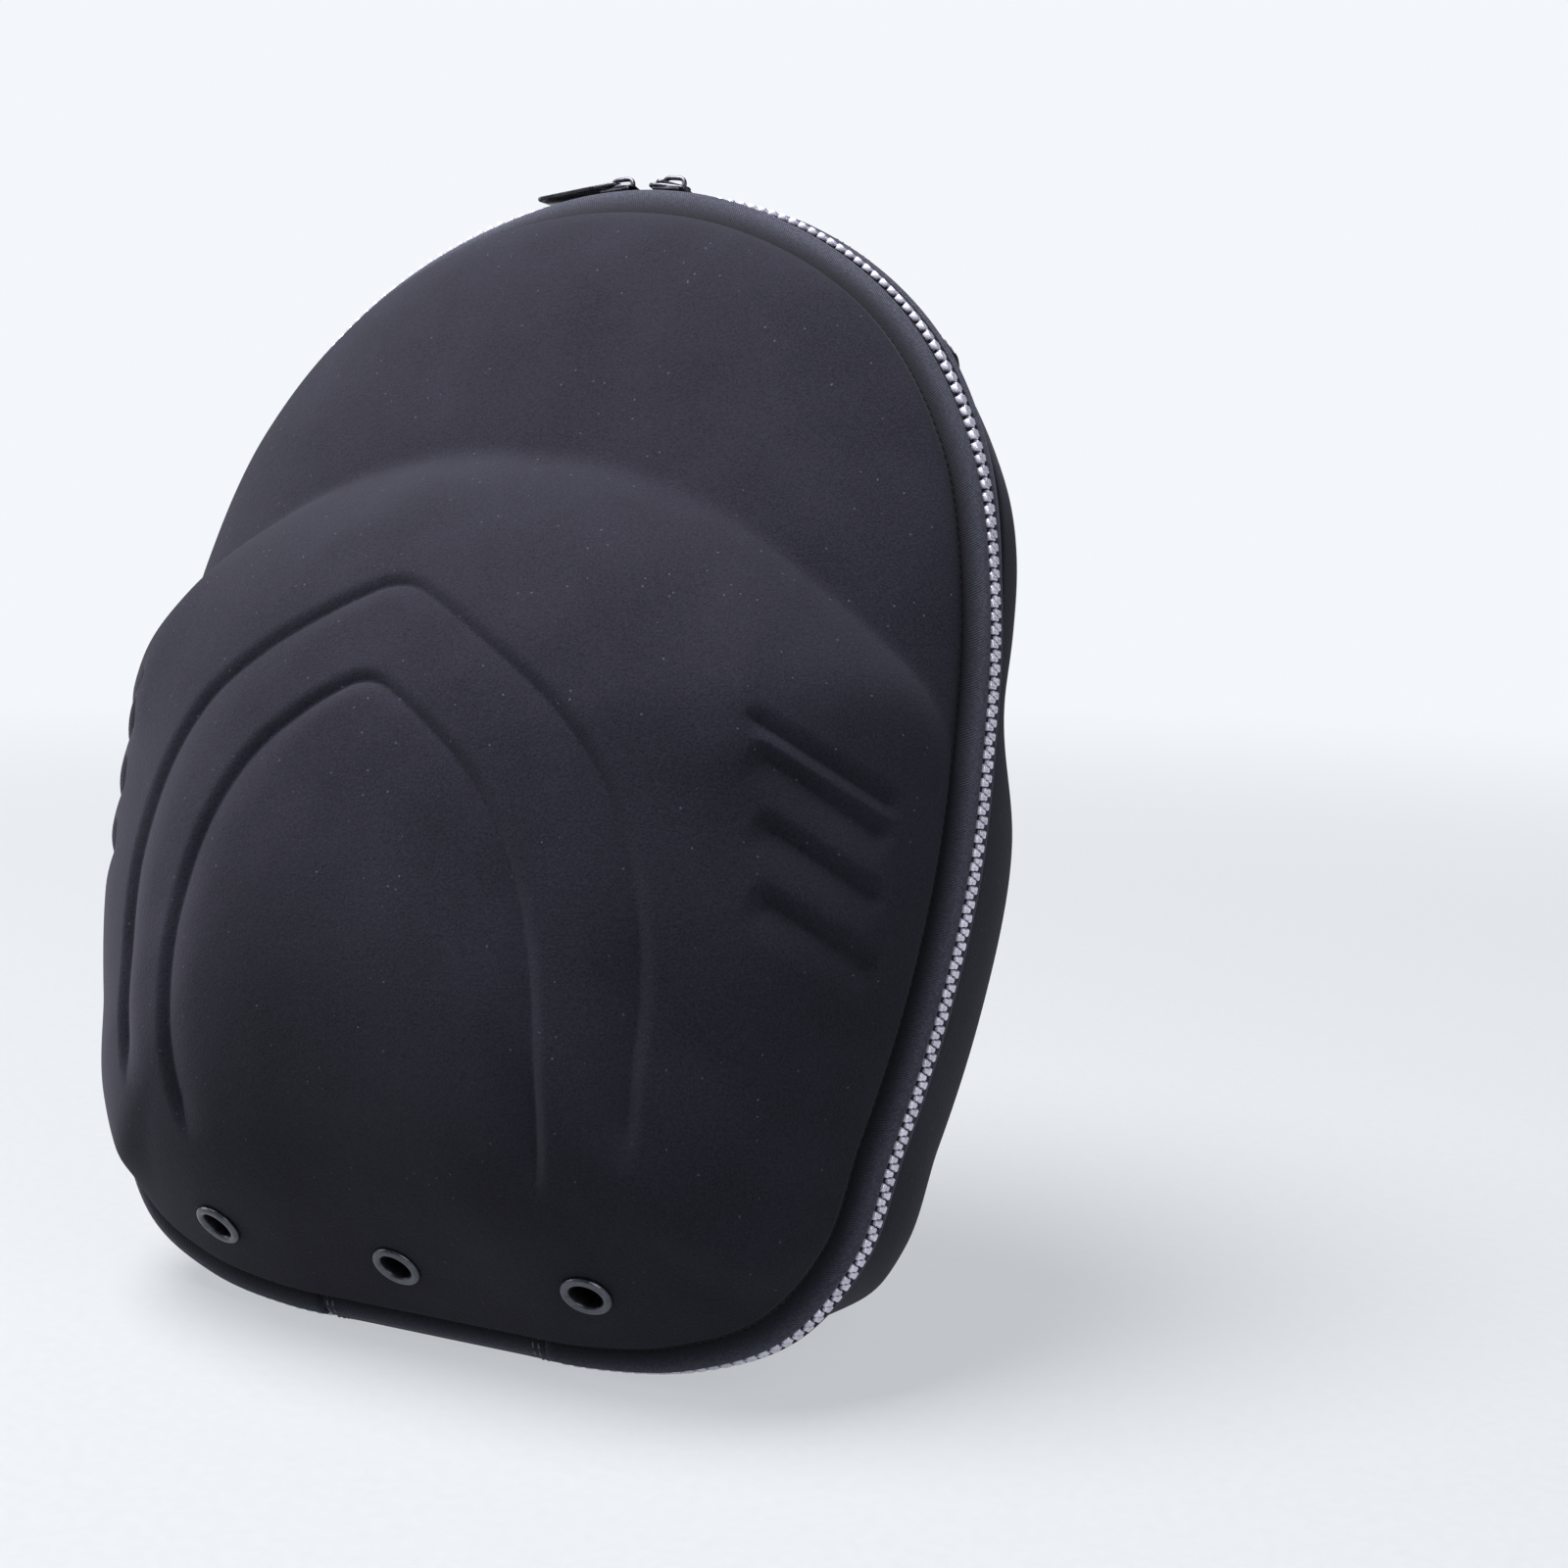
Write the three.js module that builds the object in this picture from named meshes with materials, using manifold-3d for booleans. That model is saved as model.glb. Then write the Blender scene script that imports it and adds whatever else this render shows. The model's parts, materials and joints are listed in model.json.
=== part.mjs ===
// Moulded baseball cap case: front and back shells, zipper, hinge cover, eyelets and handle.
// Built upright with the zipper in the plane y = 0 and the front towards -y, in millimetres,
// then leaned back until the lower back corner rests on the ground.
import * as THREE from 'three';
import { mergeVertices } from 'three/addons/utils/BufferGeometryUtils.js';
import Module from 'manifold-3d';

const wasm = await Module();
wasm.setup();

// Overall sizes
const CASE_HEIGHT = 294.4; // zipper outline, bottom to top
const CENTRE_HEIGHT = 125; // height of the point the outline is measured from
const CLEARANCE = 0.3; // between neighbouring pieces
const FRONT_WALL = 4; // fabric and moulded foam
const BACK_WALL = 3;

// Zipper ridge
const RIDGE_HALF_WIDTH = 8.5; // zipper plane to the edge of either shell
const CHAIN_HALF_WIDTH = 2.7;
const CHAIN_HEIGHT = 2.2;
const TAPE_THICKNESS = 1.4;
const TAPE_BULGE = 1.3; // how far the tape stands above the straight line to the shell edge
const TAPE_TOP_DROP = 0.3; // tape edge below the crest of the teeth
const HINGE_LENGTH = 64.6;
const HINGE_THICKNESS = 1.8;

// Front shell
const CROWN_DEPTH = 72; // crown of the cap, in front of the shell edge
const BRIM_DEPTH = 34; // brim of the cap, in front of the shell edge
const BROW_HEIGHT = 89; // crown foot above the centre point
const BROW_SPREAD = 0.27; // how quickly the brow widens towards the sides
const BRIM_FULLNESS = 3;
const VALLEY_SHARPNESS = 12;
const FOOT_SHARPNESS = 20;
const UNDERSIDE_SLOPE = 1.34; // depth gained for each millimetre in from the shell edge
const UNDERSIDE_SHARPNESS = 10;

// Back shell
const BACK_CROWN_DEPTH = 57;
const BACK_BRIM_DEPTH = 38;
const BACK_STEP_LOW = 138;
const BACK_STEP_HIGH = 196;
const BACK_PANEL_DEPTH = 52; // flat rear panel, behind the shell edge
const BACK_BOTTOM_SLOPE = 3.62;
const BACK_INSET = 4; // crest to the shell edge, less on the upper shoulders
const BACK_SHOULDER_RISE = 3; // how much further out the edge stands on the upper shoulders
const BACK_WAIST_HEIGHT = 167; // slight waist between the crown part and the brim part
const BACK_WAIST_SPREAD = 20;

// Grooves pressed into the front shell
const GROOVE_WIDTH = 4.6;
const GROOVE_DEPTH = 1.7;
const GROOVE_RISE = 1.5;

// Eyelets
const EYELET_HOLE_RADIUS = 4;
const EYELET_BARREL_RADIUS = 4.6;
const EYELET_FLANGE_RADIUS = 6.6;
const EYELET_FLANGE_HEIGHT = 1;
const EYELET_SEAT_GAP = 0.45;
const EYELET_SIDE_OFFSET = 52.6;
const EYELET_SIDE_RISE = 1.7; // outer eyelets above the middle one
const EYELET_BEVEL = 0.65;
const EYELET_SHARE = 0.895; // of the way from the centre point to the shell edge

// Sliders and pulls
const SLIDER_OFFSET = 7.5; // from the middle of the top
const SLIDER_LENGTH = 10.6;
const SLIDER_WIDTH = 8.2;
const SLIDER_LOWER_WIDTH = 7.2;
const SLIDER_PLATE = 0.9;
const SLIDER_SEAT = 0.5; // underside of the upper plate above the crest
const SLIDER_LOWER_TOP = -3.1;
const SLIDER_POST_LENGTH = 1.4;
const SLIDER_POST_WIDTH = 2.4;
const BAIL_LENGTH = 7.2;
const BAIL_WIDTH = 1.2;
const BAIL_POST = 0.9;
const BAIL_TOP = 4.4;
const BAIL_BAR = 1;
const PIVOT_HEIGHT = 2.6;
const PULL_WIRE = 1;
const PULL_EYE_HALF_WIDTH = 3.65;
const PULL_EYE_LENGTH = 5.2;
const PULL_LENGTH = 24;
const PULL_END_WIDTH = 7.4;
const PULL_CORNER = 1.6;
const PULL_DROOP = 4;
const PULL_RIGHT_HEADING = 125; // degrees from the zipper line towards the back

// Carry handle on the shoulder of the back shell
const HANDLE_LOW = 12; // nearest edge, behind the shell edge
const HANDLE_HIGH = 27;
const HANDLE_THICKNESS = 2.4;
const HANDLE_LIFT = 8.5;
const HANDLE_FREE_ANGLE = 23;
const HANDLE_SEWN_ANGLE = 9;
const HANDLE_SEAT_GAP = 0.6;
const HANDLE_FLATTEN = 0.75;

// Mesh fineness
const SECTORS = 52;
const BAND_STEPS = 52;
const CHAIN_STEPS = 26;
const EYELET_STEPS = 14;

// Crest of the zipper ridge: distance from the centre point at each angle, and the inset from
// the crest to the front shell edge, both as shares of the case height.
const OUTLINE = [
  { angle: -90, reach: 0.4246, inset: 0.0136 },
  { angle: -80, reach: 0.4311, inset: 0.0136 },
  { angle: -70, reach: 0.4509, inset: 0.0143 },
  { angle: -60, reach: 0.4737, inset: 0.0156 },
  { angle: -50, reach: 0.4875, inset: 0.0163 },
  { angle: -40, reach: 0.4720, inset: 0.0170 },
  { angle: -30, reach: 0.4372, inset: 0.0173 },
  { angle: -15, reach: 0.4129, inset: 0.0177 },
  { angle: 0, reach: 0.4075, inset: 0.0180 },
  { angle: 15, reach: 0.4175, inset: 0.0163 },
  { angle: 30, reach: 0.4500, inset: 0.0156 },
  { angle: 45, reach: 0.4972, inset: 0.0165 },
  { angle: 60, reach: 0.5390, inset: 0.0200 },
  { angle: 75, reach: 0.5642, inset: 0.0270 },
  { angle: 90, reach: 0.5754, inset: 0.0323 },
];

// Rings of both shells, as shares of the way from the centre point to the shell edge.
const FRONT_RINGS = [
  1, 0.992, 0.97, 0.935, 0.89, 0.83, 0.76, 0.68, 0.6, 0.54, 0.48, 0.42, 0.36, 0.28, 0.18, 0.08,
];
const BACK_RINGS = [1, 0.985, 0.955, 0.915, 0.86, 0.78, 0.68, 0.56, 0.42, 0.26, 0.1];

// Pressed grooves on one side of the front, as across and up shares of the case height.
const OUTER_ARCH = [
  { across: 0, up: 0.5775 },
  { across: 0.04, up: 0.561 },
  { across: 0.085, up: 0.536 },
  { across: 0.122, up: 0.513 },
  { across: 0.157, up: 0.487 },
  { across: 0.188, up: 0.455 },
  { across: 0.212, up: 0.418 },
  { across: 0.229, up: 0.376 },
  { across: 0.2395, up: 0.33 },
  { across: 0.243, up: 0.275 },
  { across: 0.2415, up: 0.22 },
  { across: 0.238, up: 0.155 },
];
const INNER_ARCH = [
  { across: 0, up: 0.4945 },
  { across: 0.034, up: 0.479 },
  { across: 0.066, up: 0.459 },
  { across: 0.096, up: 0.435 },
  { across: 0.121, up: 0.406 },
  { across: 0.142, up: 0.37 },
  { across: 0.158, up: 0.329 },
  { across: 0.168, up: 0.285 },
  { across: 0.1725, up: 0.235 },
  { across: 0.1725, up: 0.18 },
  { across: 0.165, up: 0.122 },
];
const SIDE_VENTS = [
  { innerAcross: 0.283, innerUp: 0.506, outerAcross: 0.376, outerUp: 0.458 },
  { innerAcross: 0.291, innerUp: 0.48, outerAcross: 0.374, outerUp: 0.434 },
  { innerAcross: 0.298, innerUp: 0.43, outerAcross: 0.374, outerUp: 0.387 },
  { innerAcross: 0.301, innerUp: 0.376, outerAcross: 0.374, outerUp: 0.337 },
];

const radians = THREE.MathUtils.degToRad;
const smoothstep = THREE.MathUtils.smoothstep;

// Catmull-Rom value of one column of the outline table; the outline mirrors at top and bottom.
function outlineValue(angle, column) {
  const folded = angle > 90 ? 180 - angle : angle < -90 ? -180 - angle : angle;
  const last = OUTLINE.length - 1;
  let k = 0;
  while (k < last - 1 && OUTLINE[k + 1].angle < folded) k += 1;
  const row = (i) => {
    if (i < 0) return { at: -180 - OUTLINE[-i].angle, value: OUTLINE[-i][column] };
    if (i > last) return { at: 180 - OUTLINE[2 * last - i].angle, value: OUTLINE[2 * last - i][column] };
    return { at: OUTLINE[i].angle, value: OUTLINE[i][column] };
  };
  const [a, b, c, d] = [row(k - 1), row(k), row(k + 1), row(k + 2)];
  const span = c.at - b.at;
  const u = (folded - b.at) / span;
  const slopeB = ((c.value - a.value) / (c.at - a.at)) * span;
  const slopeC = ((d.value - b.value) / (d.at - b.at)) * span;
  const u2 = u * u;
  const u3 = u2 * u;
  return (
    (2 * u3 - 3 * u2 + 1) * b.value + (u3 - 2 * u2 + u) * slopeB +
    (3 * u2 - 2 * u3) * c.value + (u3 - u2) * slopeC
  );
}

// Crest point in the zipper plane as (x, z).
function crestPoint(angle) {
  const reach = CASE_HEIGHT * outlineValue(angle, 'reach');
  return new THREE.Vector2(
    reach * Math.cos(radians(angle)), CENTRE_HEIGHT + reach * Math.sin(radians(angle)),
  );
}

// Outward normal of the crest in the zipper plane.
function crestNormal(angle) {
  const step = 0.5;
  const along = crestPoint(angle + step).sub(crestPoint(angle - step));
  return new THREE.Vector2(along.y, -along.x).normalize();
}

// How far a place is within one of the two upper shoulders, from 0 to 1.
function shoulder(angle) {
  return smoothstep(angle, 22, 44) * (1 - smoothstep(angle, 62, 88));
}

// Drop from the crest to the edge of a shell; side is -1 for the front and 1 for the back.
function insetAt(side, angle) {
  if (side < 0) return CASE_HEIGHT * outlineValue(angle, 'inset');
  return BACK_INSET - BACK_SHOULDER_RISE * shoulder(angle);
}

// Point of a shell edge in the zipper plane.
function edgePoint(side, angle) {
  return crestPoint(angle).addScaledVector(crestNormal(angle), -insetAt(side, angle));
}

function folded(angle) {
  const wrapped = ((((angle + 90) % 360) + 360) % 360) - 90;
  return wrapped > 90 ? 180 - wrapped : wrapped;
}

function softMax(a, b, sharpness) {
  return Math.pow(Math.pow(a, sharpness) + Math.pow(b, sharpness), 1 / sharpness);
}

function softMin(a, b, sharpness) {
  if (a <= 0 || b <= 0) return 0;
  return 1 / softMax(1 / a, 1 / b, sharpness);
}

// Depth of a rounded profile at a share of its foot radius.
function roundedDepth(share, fullness, roundness) {
  if (share >= 1) return 0;
  return Math.pow(1 - Math.pow(share, fullness), 1 / roundness);
}

// Front surface: depth in front of the shell edge at an angle and a share of the edge distance.
function frontDepth(angle, share) {
  const up = folded(angle);
  const edge = edgePoint(-1, up);
  const edgeReach = Math.hypot(edge.x, edge.y - CENTRE_HEIGHT);
  const reach = share * edgeReach;
  const direction = Math.atan2(edge.y - CENTRE_HEIGHT, edge.x);
  const sine = Math.max(Math.sin(direction), 0.05);
  const brow = BROW_HEIGHT / Math.pow(sine, BROW_SPREAD);
  const foot = softMin(edgeReach, brow, FOOT_SHARPNESS);
  const top = smoothstep(up, 10, 50);
  const bottom = smoothstep(-up, 15, 45);
  const crownRoundness = 1.7 + 0.7 * top - 0.2 * bottom;
  const crown = CROWN_DEPTH * roundedDepth(reach / foot, 2 + 0.1 * top, crownRoundness);
  const brimRoundness = 1.4 + 0.6 * smoothstep(up, 55, 85);
  const brim = BRIM_DEPTH * roundedDepth(share, BRIM_FULLNESS, brimRoundness);
  const whole = softMax(crown, brim, VALLEY_SHARPNESS);
  const low = smoothstep(-up, 38, 54);
  const slope = UNDERSIDE_SLOPE / Math.max(low, 0.02);
  return softMin(whole, slope * (edgeReach - reach), UNDERSIDE_SHARPNESS);
}

// Back surface: depth behind the shell edge.
function backDepth(angle, share) {
  const up = folded(angle);
  const edge = edgePoint(1, up);
  const edgeReach = Math.hypot(edge.x, edge.y - CENTRE_HEIGHT);
  const height = CENTRE_HEIGHT + share * (edge.y - CENTRE_HEIGHT);
  const step = 1 - smoothstep(height, BACK_STEP_LOW, BACK_STEP_HIGH);
  const full = BACK_BRIM_DEPTH + (BACK_CROWN_DEPTH - BACK_BRIM_DEPTH) * step;
  const low = smoothstep(-up, 34, 60);
  const waist = Math.exp(-Math.pow((height - BACK_WAIST_HEIGHT) / BACK_WAIST_SPREAD, 2));
  const fullness = 6.4 + 1.6 * low - 2.2 * waist;
  const roundness = 2.7 + 0.3 * low - 0.7 * waist;
  const body = full * roundedDepth(share, fullness, roundness);
  const slope = BACK_BOTTOM_SLOPE / Math.max(low, 0.02);
  const walled = softMin(body, slope * (1 - share) * edgeReach, UNDERSIDE_SHARPNESS);
  return Math.min(walled, BACK_PANEL_DEPTH);
}

// Point of a shell's outer surface.
function shellPoint(side, angle, share) {
  const edge = edgePoint(side, folded(angle));
  const mirror = Math.cos(radians(angle)) < 0 ? -1 : 1;
  const depth = side < 0 ? frontDepth(angle, share) : backDepth(angle, share);
  return new THREE.Vector3(
    mirror * share * edge.x,
    side * (RIDGE_HALF_WIDTH + depth),
    CENTRE_HEIGHT + share * (edge.y - CENTRE_HEIGHT),
  );
}

function shellNormal(side, angle, share) {
  const turn = 1;
  const reach = 0.004;
  const inner = Math.max(share - reach, 0.01);
  const outer = Math.min(share + reach, 1);
  const across = shellPoint(side, angle + turn, share).sub(shellPoint(side, angle - turn, share));
  const out = shellPoint(side, angle, outer).sub(shellPoint(side, angle, inner));
  return across.cross(out).multiplyScalar(side).normalize();
}

// Shell point nearest to a place on the front, found by angle and share.
function placeOnShell(side, x, z) {
  const direction = THREE.MathUtils.radToDeg(Math.atan2(z - CENTRE_HEIGHT, Math.abs(x)));
  let angle = direction;
  for (let i = 0; i < 12; i += 1) {
    const edge = edgePoint(side, angle);
    const now = THREE.MathUtils.radToDeg(Math.atan2(edge.y - CENTRE_HEIGHT, edge.x));
    angle = THREE.MathUtils.clamp(angle + direction - now, -90, 90);
  }
  const edge = edgePoint(side, angle);
  const share = Math.hypot(x, z - CENTRE_HEIGHT) / Math.hypot(edge.x, edge.y - CENTRE_HEIGHT);
  const fullAngle = x < 0 ? 180 - angle : angle;
  return {
    point: shellPoint(side, fullAngle, share),
    normal: shellNormal(side, fullAngle, share),
  };
}

function geometryFrom(points, faces) {
  const geometry = new THREE.BufferGeometry();
  const position = points.flatMap((p) => [p.x, p.y, p.z]);
  geometry.setAttribute('position', new THREE.Float32BufferAttribute(position, 3));
  geometry.setIndex(faces.flat());
  return geometry;
}

function toManifold(geometry) {
  const bare = geometry.clone();
  bare.deleteAttribute('normal');
  bare.deleteAttribute('uv');
  const merged = mergeVertices(bare, 1e-4);
  return new wasm.Manifold(new wasm.Mesh({
    numProp: 3,
    vertProperties: new Float32Array(merged.attributes.position.array),
    triVerts: new Uint32Array(merged.index.array),
  }));
}

function fromManifold(solid) {
  const mesh = solid.getMesh();
  const geometry = new THREE.BufferGeometry();
  geometry.setAttribute('position', new THREE.BufferAttribute(mesh.vertProperties, 3));
  geometry.setIndex(new THREE.BufferAttribute(mesh.triVerts, 1));
  return geometry;
}

// Turn every face the right way round when the body came out inside out.
function facingOut(geometry) {
  const p = geometry.attributes.position;
  const index = geometry.index.array;
  let volume = 0;
  const [a, b, c] = [new THREE.Vector3(), new THREE.Vector3(), new THREE.Vector3()];
  for (let i = 0; i < index.length; i += 3) {
    a.fromBufferAttribute(p, index[i]);
    b.fromBufferAttribute(p, index[i + 1]);
    c.fromBufferAttribute(p, index[i + 2]);
    volume += a.dot(b.cross(c));
  }
  if (volume < 0) {
    for (let i = 0; i < index.length; i += 3) {
      [index[i], index[i + 1]] = [index[i + 1], index[i]];
    }
  }
  return geometry;
}

// Closed body from equal loops of points; capped at both ends unless it runs full circle.
function sweepLoops(loops, closed) {
  const points = loops.flat();
  const size = loops[0].length;
  const count = loops.length;
  const faces = [];
  const spans = closed ? count : count - 1;
  for (let i = 0; i < spans; i += 1) {
    const next = (i + 1) % count;
    for (let j = 0; j < size; j += 1) {
      const k = (j + 1) % size;
      const [a, b, c, d] = [i * size + j, i * size + k, next * size + k, next * size + j];
      faces.push([a, b, c], [a, c, d]);
    }
  }
  if (!closed) {
    const shape = (loop) => {
      const centre = loop.reduce((sum, p) => sum.add(p), new THREE.Vector3()).divideScalar(size);
      const normal = new THREE.Vector3();
      loop.forEach((p, j) => {
        const q = loop[(j + 1) % size];
        normal.add(p.clone().sub(centre).cross(q.clone().sub(centre)));
      });
      const u = loop[1].clone().sub(loop[0]).normalize();
      const v = normal.normalize().cross(u);
      return loop.map((p) => new THREE.Vector2(p.dot(u), p.dot(v)));
    };
    const startCap = THREE.ShapeUtils.triangulateShape(shape(loops[0]), []);
    const endCap = THREE.ShapeUtils.triangulateShape(shape(loops[count - 1]), []);
    const base = (count - 1) * size;
    startCap.forEach(([a, b, c]) => faces.push([a, c, b]));
    endCap.forEach(([a, b, c]) => faces.push([base + a, base + b, base + c]));
  }
  return facingOut(geometryFrom(points, faces));
}

// Shell as an outer and an inner skin joined round the edge.
function shellGeometry(side, rings, wall) {
  const outer = [];
  const inner = [];
  for (const share of rings) {
    for (let i = 0; i < SECTORS; i += 1) {
      const angle = -90 + (360 * i) / SECTORS;
      const point = shellPoint(side, angle, share);
      const normal = shellNormal(side, angle, share);
      const under = point.clone().addScaledVector(normal, -wall);
      under.y = side * Math.max(side * under.y, RIDGE_HALF_WIDTH);
      outer.push(point);
      inner.push(under);
    }
  }
  const pole = shellPoint(side, 0, 0);
  const points = [...outer, pole, ...inner, new THREE.Vector3(0, pole.y - side * wall, pole.z)];
  const offset = outer.length + 1;
  const faces = [];
  for (let r = 0; r < rings.length - 1; r += 1) {
    for (let i = 0; i < SECTORS; i += 1) {
      const k = (i + 1) % SECTORS;
      const quad = [r * SECTORS + i, r * SECTORS + k, (r + 1) * SECTORS + k, (r + 1) * SECTORS + i];
      faces.push([quad[0], quad[1], quad[2]], [quad[0], quad[2], quad[3]]);
      const under = quad.map((v) => v + offset);
      faces.push([under[0], under[2], under[1]], [under[0], under[3], under[2]]);
    }
  }
  const last = (rings.length - 1) * SECTORS;
  for (let i = 0; i < SECTORS; i += 1) {
    const k = (i + 1) % SECTORS;
    faces.push([last + i, last + k, outer.length]);
    faces.push([last + i + offset, points.length - 1, last + k + offset]);
    faces.push([i, i + offset, k], [k, i + offset, k + offset]);
  }
  return facingOut(geometryFrom(points, faces));
}

// Wedge that presses a groove along a path of places on the front.
function grooveCutter(places) {
  const spots = places.map(({ x, z }) => placeOnShell(-1, x, z));
  const loops = spots.map(({ point, normal }, i) => {
    const before = spots[Math.max(i - 1, 0)].point;
    const after = spots[Math.min(i + 1, spots.length - 1)].point;
    const side = after.clone().sub(before).cross(normal).normalize();
    const top = point.clone().addScaledVector(normal, GROOVE_RISE);
    const spread = (GROOVE_WIDTH / 2) * (1 + GROOVE_RISE / GROOVE_DEPTH);
    return [
      top.clone().addScaledVector(side, spread),
      point.clone().addScaledVector(normal, -GROOVE_DEPTH),
      top.clone().addScaledVector(side, -spread),
    ];
  });
  return toManifold(sweepLoops(loops, false));
}

// Whole arch from its half table, left end over the peak to the right end.
function archPath(table) {
  const right = table.map(({ across, up }) => ({ x: across * CASE_HEIGHT, z: up * CASE_HEIGHT }));
  const left = right.slice(1).map(({ x, z }) => ({ x: -x, z })).reverse();
  return [...left, ...right];
}

function ventPath(vent, side) {
  const steps = 3;
  return Array.from({ length: steps + 1 }, (_, i) => {
    const u = i / steps;
    return {
      x: side * CASE_HEIGHT * THREE.MathUtils.lerp(vent.innerAcross, vent.outerAcross, u),
      z: CASE_HEIGHT * THREE.MathUtils.lerp(vent.innerUp, vent.outerUp, u),
    };
  });
}

// Where the eyelets sit on the sloping underside.
function eyeletPlace(x) {
  const reference = edgePoint(-1, -90);
  const flat = CENTRE_HEIGHT + EYELET_SHARE * (reference.y - CENTRE_HEIGHT);
  return placeOnShell(-1, x, flat + EYELET_SIDE_RISE * (Math.abs(x) / EYELET_SIDE_OFFSET));
}

function orient(geometry, place) {
  const turn = new THREE.Quaternion().setFromUnitVectors(new THREE.Vector3(0, 0, 1), place.normal);
  const matrix = new THREE.Matrix4().compose(place.point, turn, new THREE.Vector3(1, 1, 1));
  return geometry.applyMatrix4(matrix);
}

function revolve(profile, steps) {
  const loops = [];
  for (let i = 0; i < steps; i += 1) {
    const a = (2 * Math.PI * i) / steps;
    loops.push(profile.map(([r, h]) => new THREE.Vector3(r * Math.cos(a), r * Math.sin(a), h)));
  }
  return sweepLoops(loops, true);
}

function eyeletGeometry(place) {
  const seat = EYELET_SEAT_GAP;
  const under = -FRONT_WALL - 2 * EYELET_SEAT_GAP;
  const profile = [
    [EYELET_HOLE_RADIUS, under - EYELET_FLANGE_HEIGHT],
    [EYELET_FLANGE_RADIUS, under - EYELET_FLANGE_HEIGHT],
    [EYELET_FLANGE_RADIUS, under],
    [EYELET_BARREL_RADIUS, under],
    [EYELET_BARREL_RADIUS, seat],
    [EYELET_FLANGE_RADIUS, seat],
    [EYELET_FLANGE_RADIUS - EYELET_BEVEL, seat + EYELET_FLANGE_HEIGHT],
    [EYELET_HOLE_RADIUS + EYELET_BEVEL, seat + EYELET_FLANGE_HEIGHT],
    [EYELET_HOLE_RADIUS, seat],
  ];
  return orient(revolve(profile, EYELET_STEPS), place);
}

function eyeletDrill(place) {
  const reach = 2 * FRONT_WALL;
  const radius = (EYELET_BARREL_RADIUS + CLEARANCE) / Math.cos(Math.PI / EYELET_STEPS);
  const drill = new THREE.CylinderGeometry(radius, radius, 2 * reach, EYELET_STEPS);
  drill.rotateX(Math.PI / 2);
  return toManifold(orient(drill, place));
}

function frontShell(eyelets) {
  let solid = toManifold(shellGeometry(-1, FRONT_RINGS, FRONT_WALL));
  const cutters = [grooveCutter(archPath(OUTER_ARCH)), grooveCutter(archPath(INNER_ARCH))];
  for (const vent of SIDE_VENTS) {
    cutters.push(grooveCutter(ventPath(vent, 1)), grooveCutter(ventPath(vent, -1)));
  }
  for (const place of eyelets) cutters.push(eyeletDrill(place));
  for (const cutter of cutters) solid = solid.subtract(cutter);
  return fromManifold(solid);
}

// Outer line of the tape from the teeth to the shell edge, as rise above the edge inset and y.
function tapeLine(inset, drop) {
  const near = CHAIN_HALF_WIDTH + CLEARANCE;
  const far = RIDGE_HALF_WIDTH - CLEARANCE;
  const steps = 3;
  return Array.from({ length: steps + 1 }, (_, i) => {
    const u = i / steps;
    const bulge = TAPE_BULGE * 4 * u * (1 - u);
    const fall = TAPE_TOP_DROP + (inset - TAPE_TOP_DROP) * u;
    return { rise: -fall + bulge - drop, y: near + (far - near) * u };
  });
}

function bandPoint(angle, rise, y) {
  const spot = crestPoint(folded(angle));
  const normal = crestNormal(folded(angle));
  spot.addScaledVector(normal, rise);
  const mirror = Math.cos(radians(angle)) < 0 ? -1 : 1;
  return new THREE.Vector3(mirror * spot.x, y, spot.y);
}

// Angle at which the crest reaches a given x along the bottom or top.
function angleAcross(x, vertical) {
  let low = 0;
  let high = 90;
  for (let i = 0; i < 40; i += 1) {
    const middle = (low + high) / 2;
    if (crestPoint(vertical * middle).x > x) low = middle;
    else high = middle;
  }
  return vertical * low;
}

function tapeGeometry(side, fromAngle, toAngle) {
  const loops = [];
  for (let i = 0; i <= BAND_STEPS; i += 1) {
    const angle = fromAngle + ((toAngle - fromAngle) * i) / BAND_STEPS;
    const inset = insetAt(side, folded(angle));
    const outer = tapeLine(inset, 0);
    const inner = tapeLine(inset, TAPE_THICKNESS).reverse();
    loops.push([...outer, ...inner].map(({ rise, y }) => bandPoint(angle, rise, side * y)));
  }
  return sweepLoops(loops, false);
}

function chainGeometry(fromAngle, toAngle) {
  const loops = [];
  for (let i = 0; i <= CHAIN_STEPS; i += 1) {
    const angle = fromAngle + ((toAngle - fromAngle) * i) / CHAIN_STEPS;
    loops.push([
      bandPoint(angle, 0, -CHAIN_HALF_WIDTH),
      bandPoint(angle, 0, CHAIN_HALF_WIDTH),
      bandPoint(angle, -CHAIN_HEIGHT, CHAIN_HALF_WIDTH),
      bandPoint(angle, -CHAIN_HEIGHT, -CHAIN_HALF_WIDTH),
    ]);
  }
  return sweepLoops(loops, false);
}

// Smooth fabric cover over the bottom of the ridge, from one shell edge to the other.
function hingeGeometry(fromAngle, toAngle) {
  const steps = 8;
  const loops = [];
  for (let i = 0; i <= steps; i += 1) {
    const angle = fromAngle + ((toAngle - fromAngle) * i) / steps;
    const half = tapeLine(insetAt(-1, folded(angle)), 0);
    const mirrored = half.map(({ rise, y }) => ({ rise, y: -y })).reverse();
    const outer = [...mirrored, ...half];
    const inner = outer.map(({ rise, y }) => ({ rise: rise - HINGE_THICKNESS, y })).reverse();
    loops.push([...outer, ...inner].map(({ rise, y }) => bandPoint(angle, rise, y)));
  }
  return sweepLoops(loops, false);
}

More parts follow.
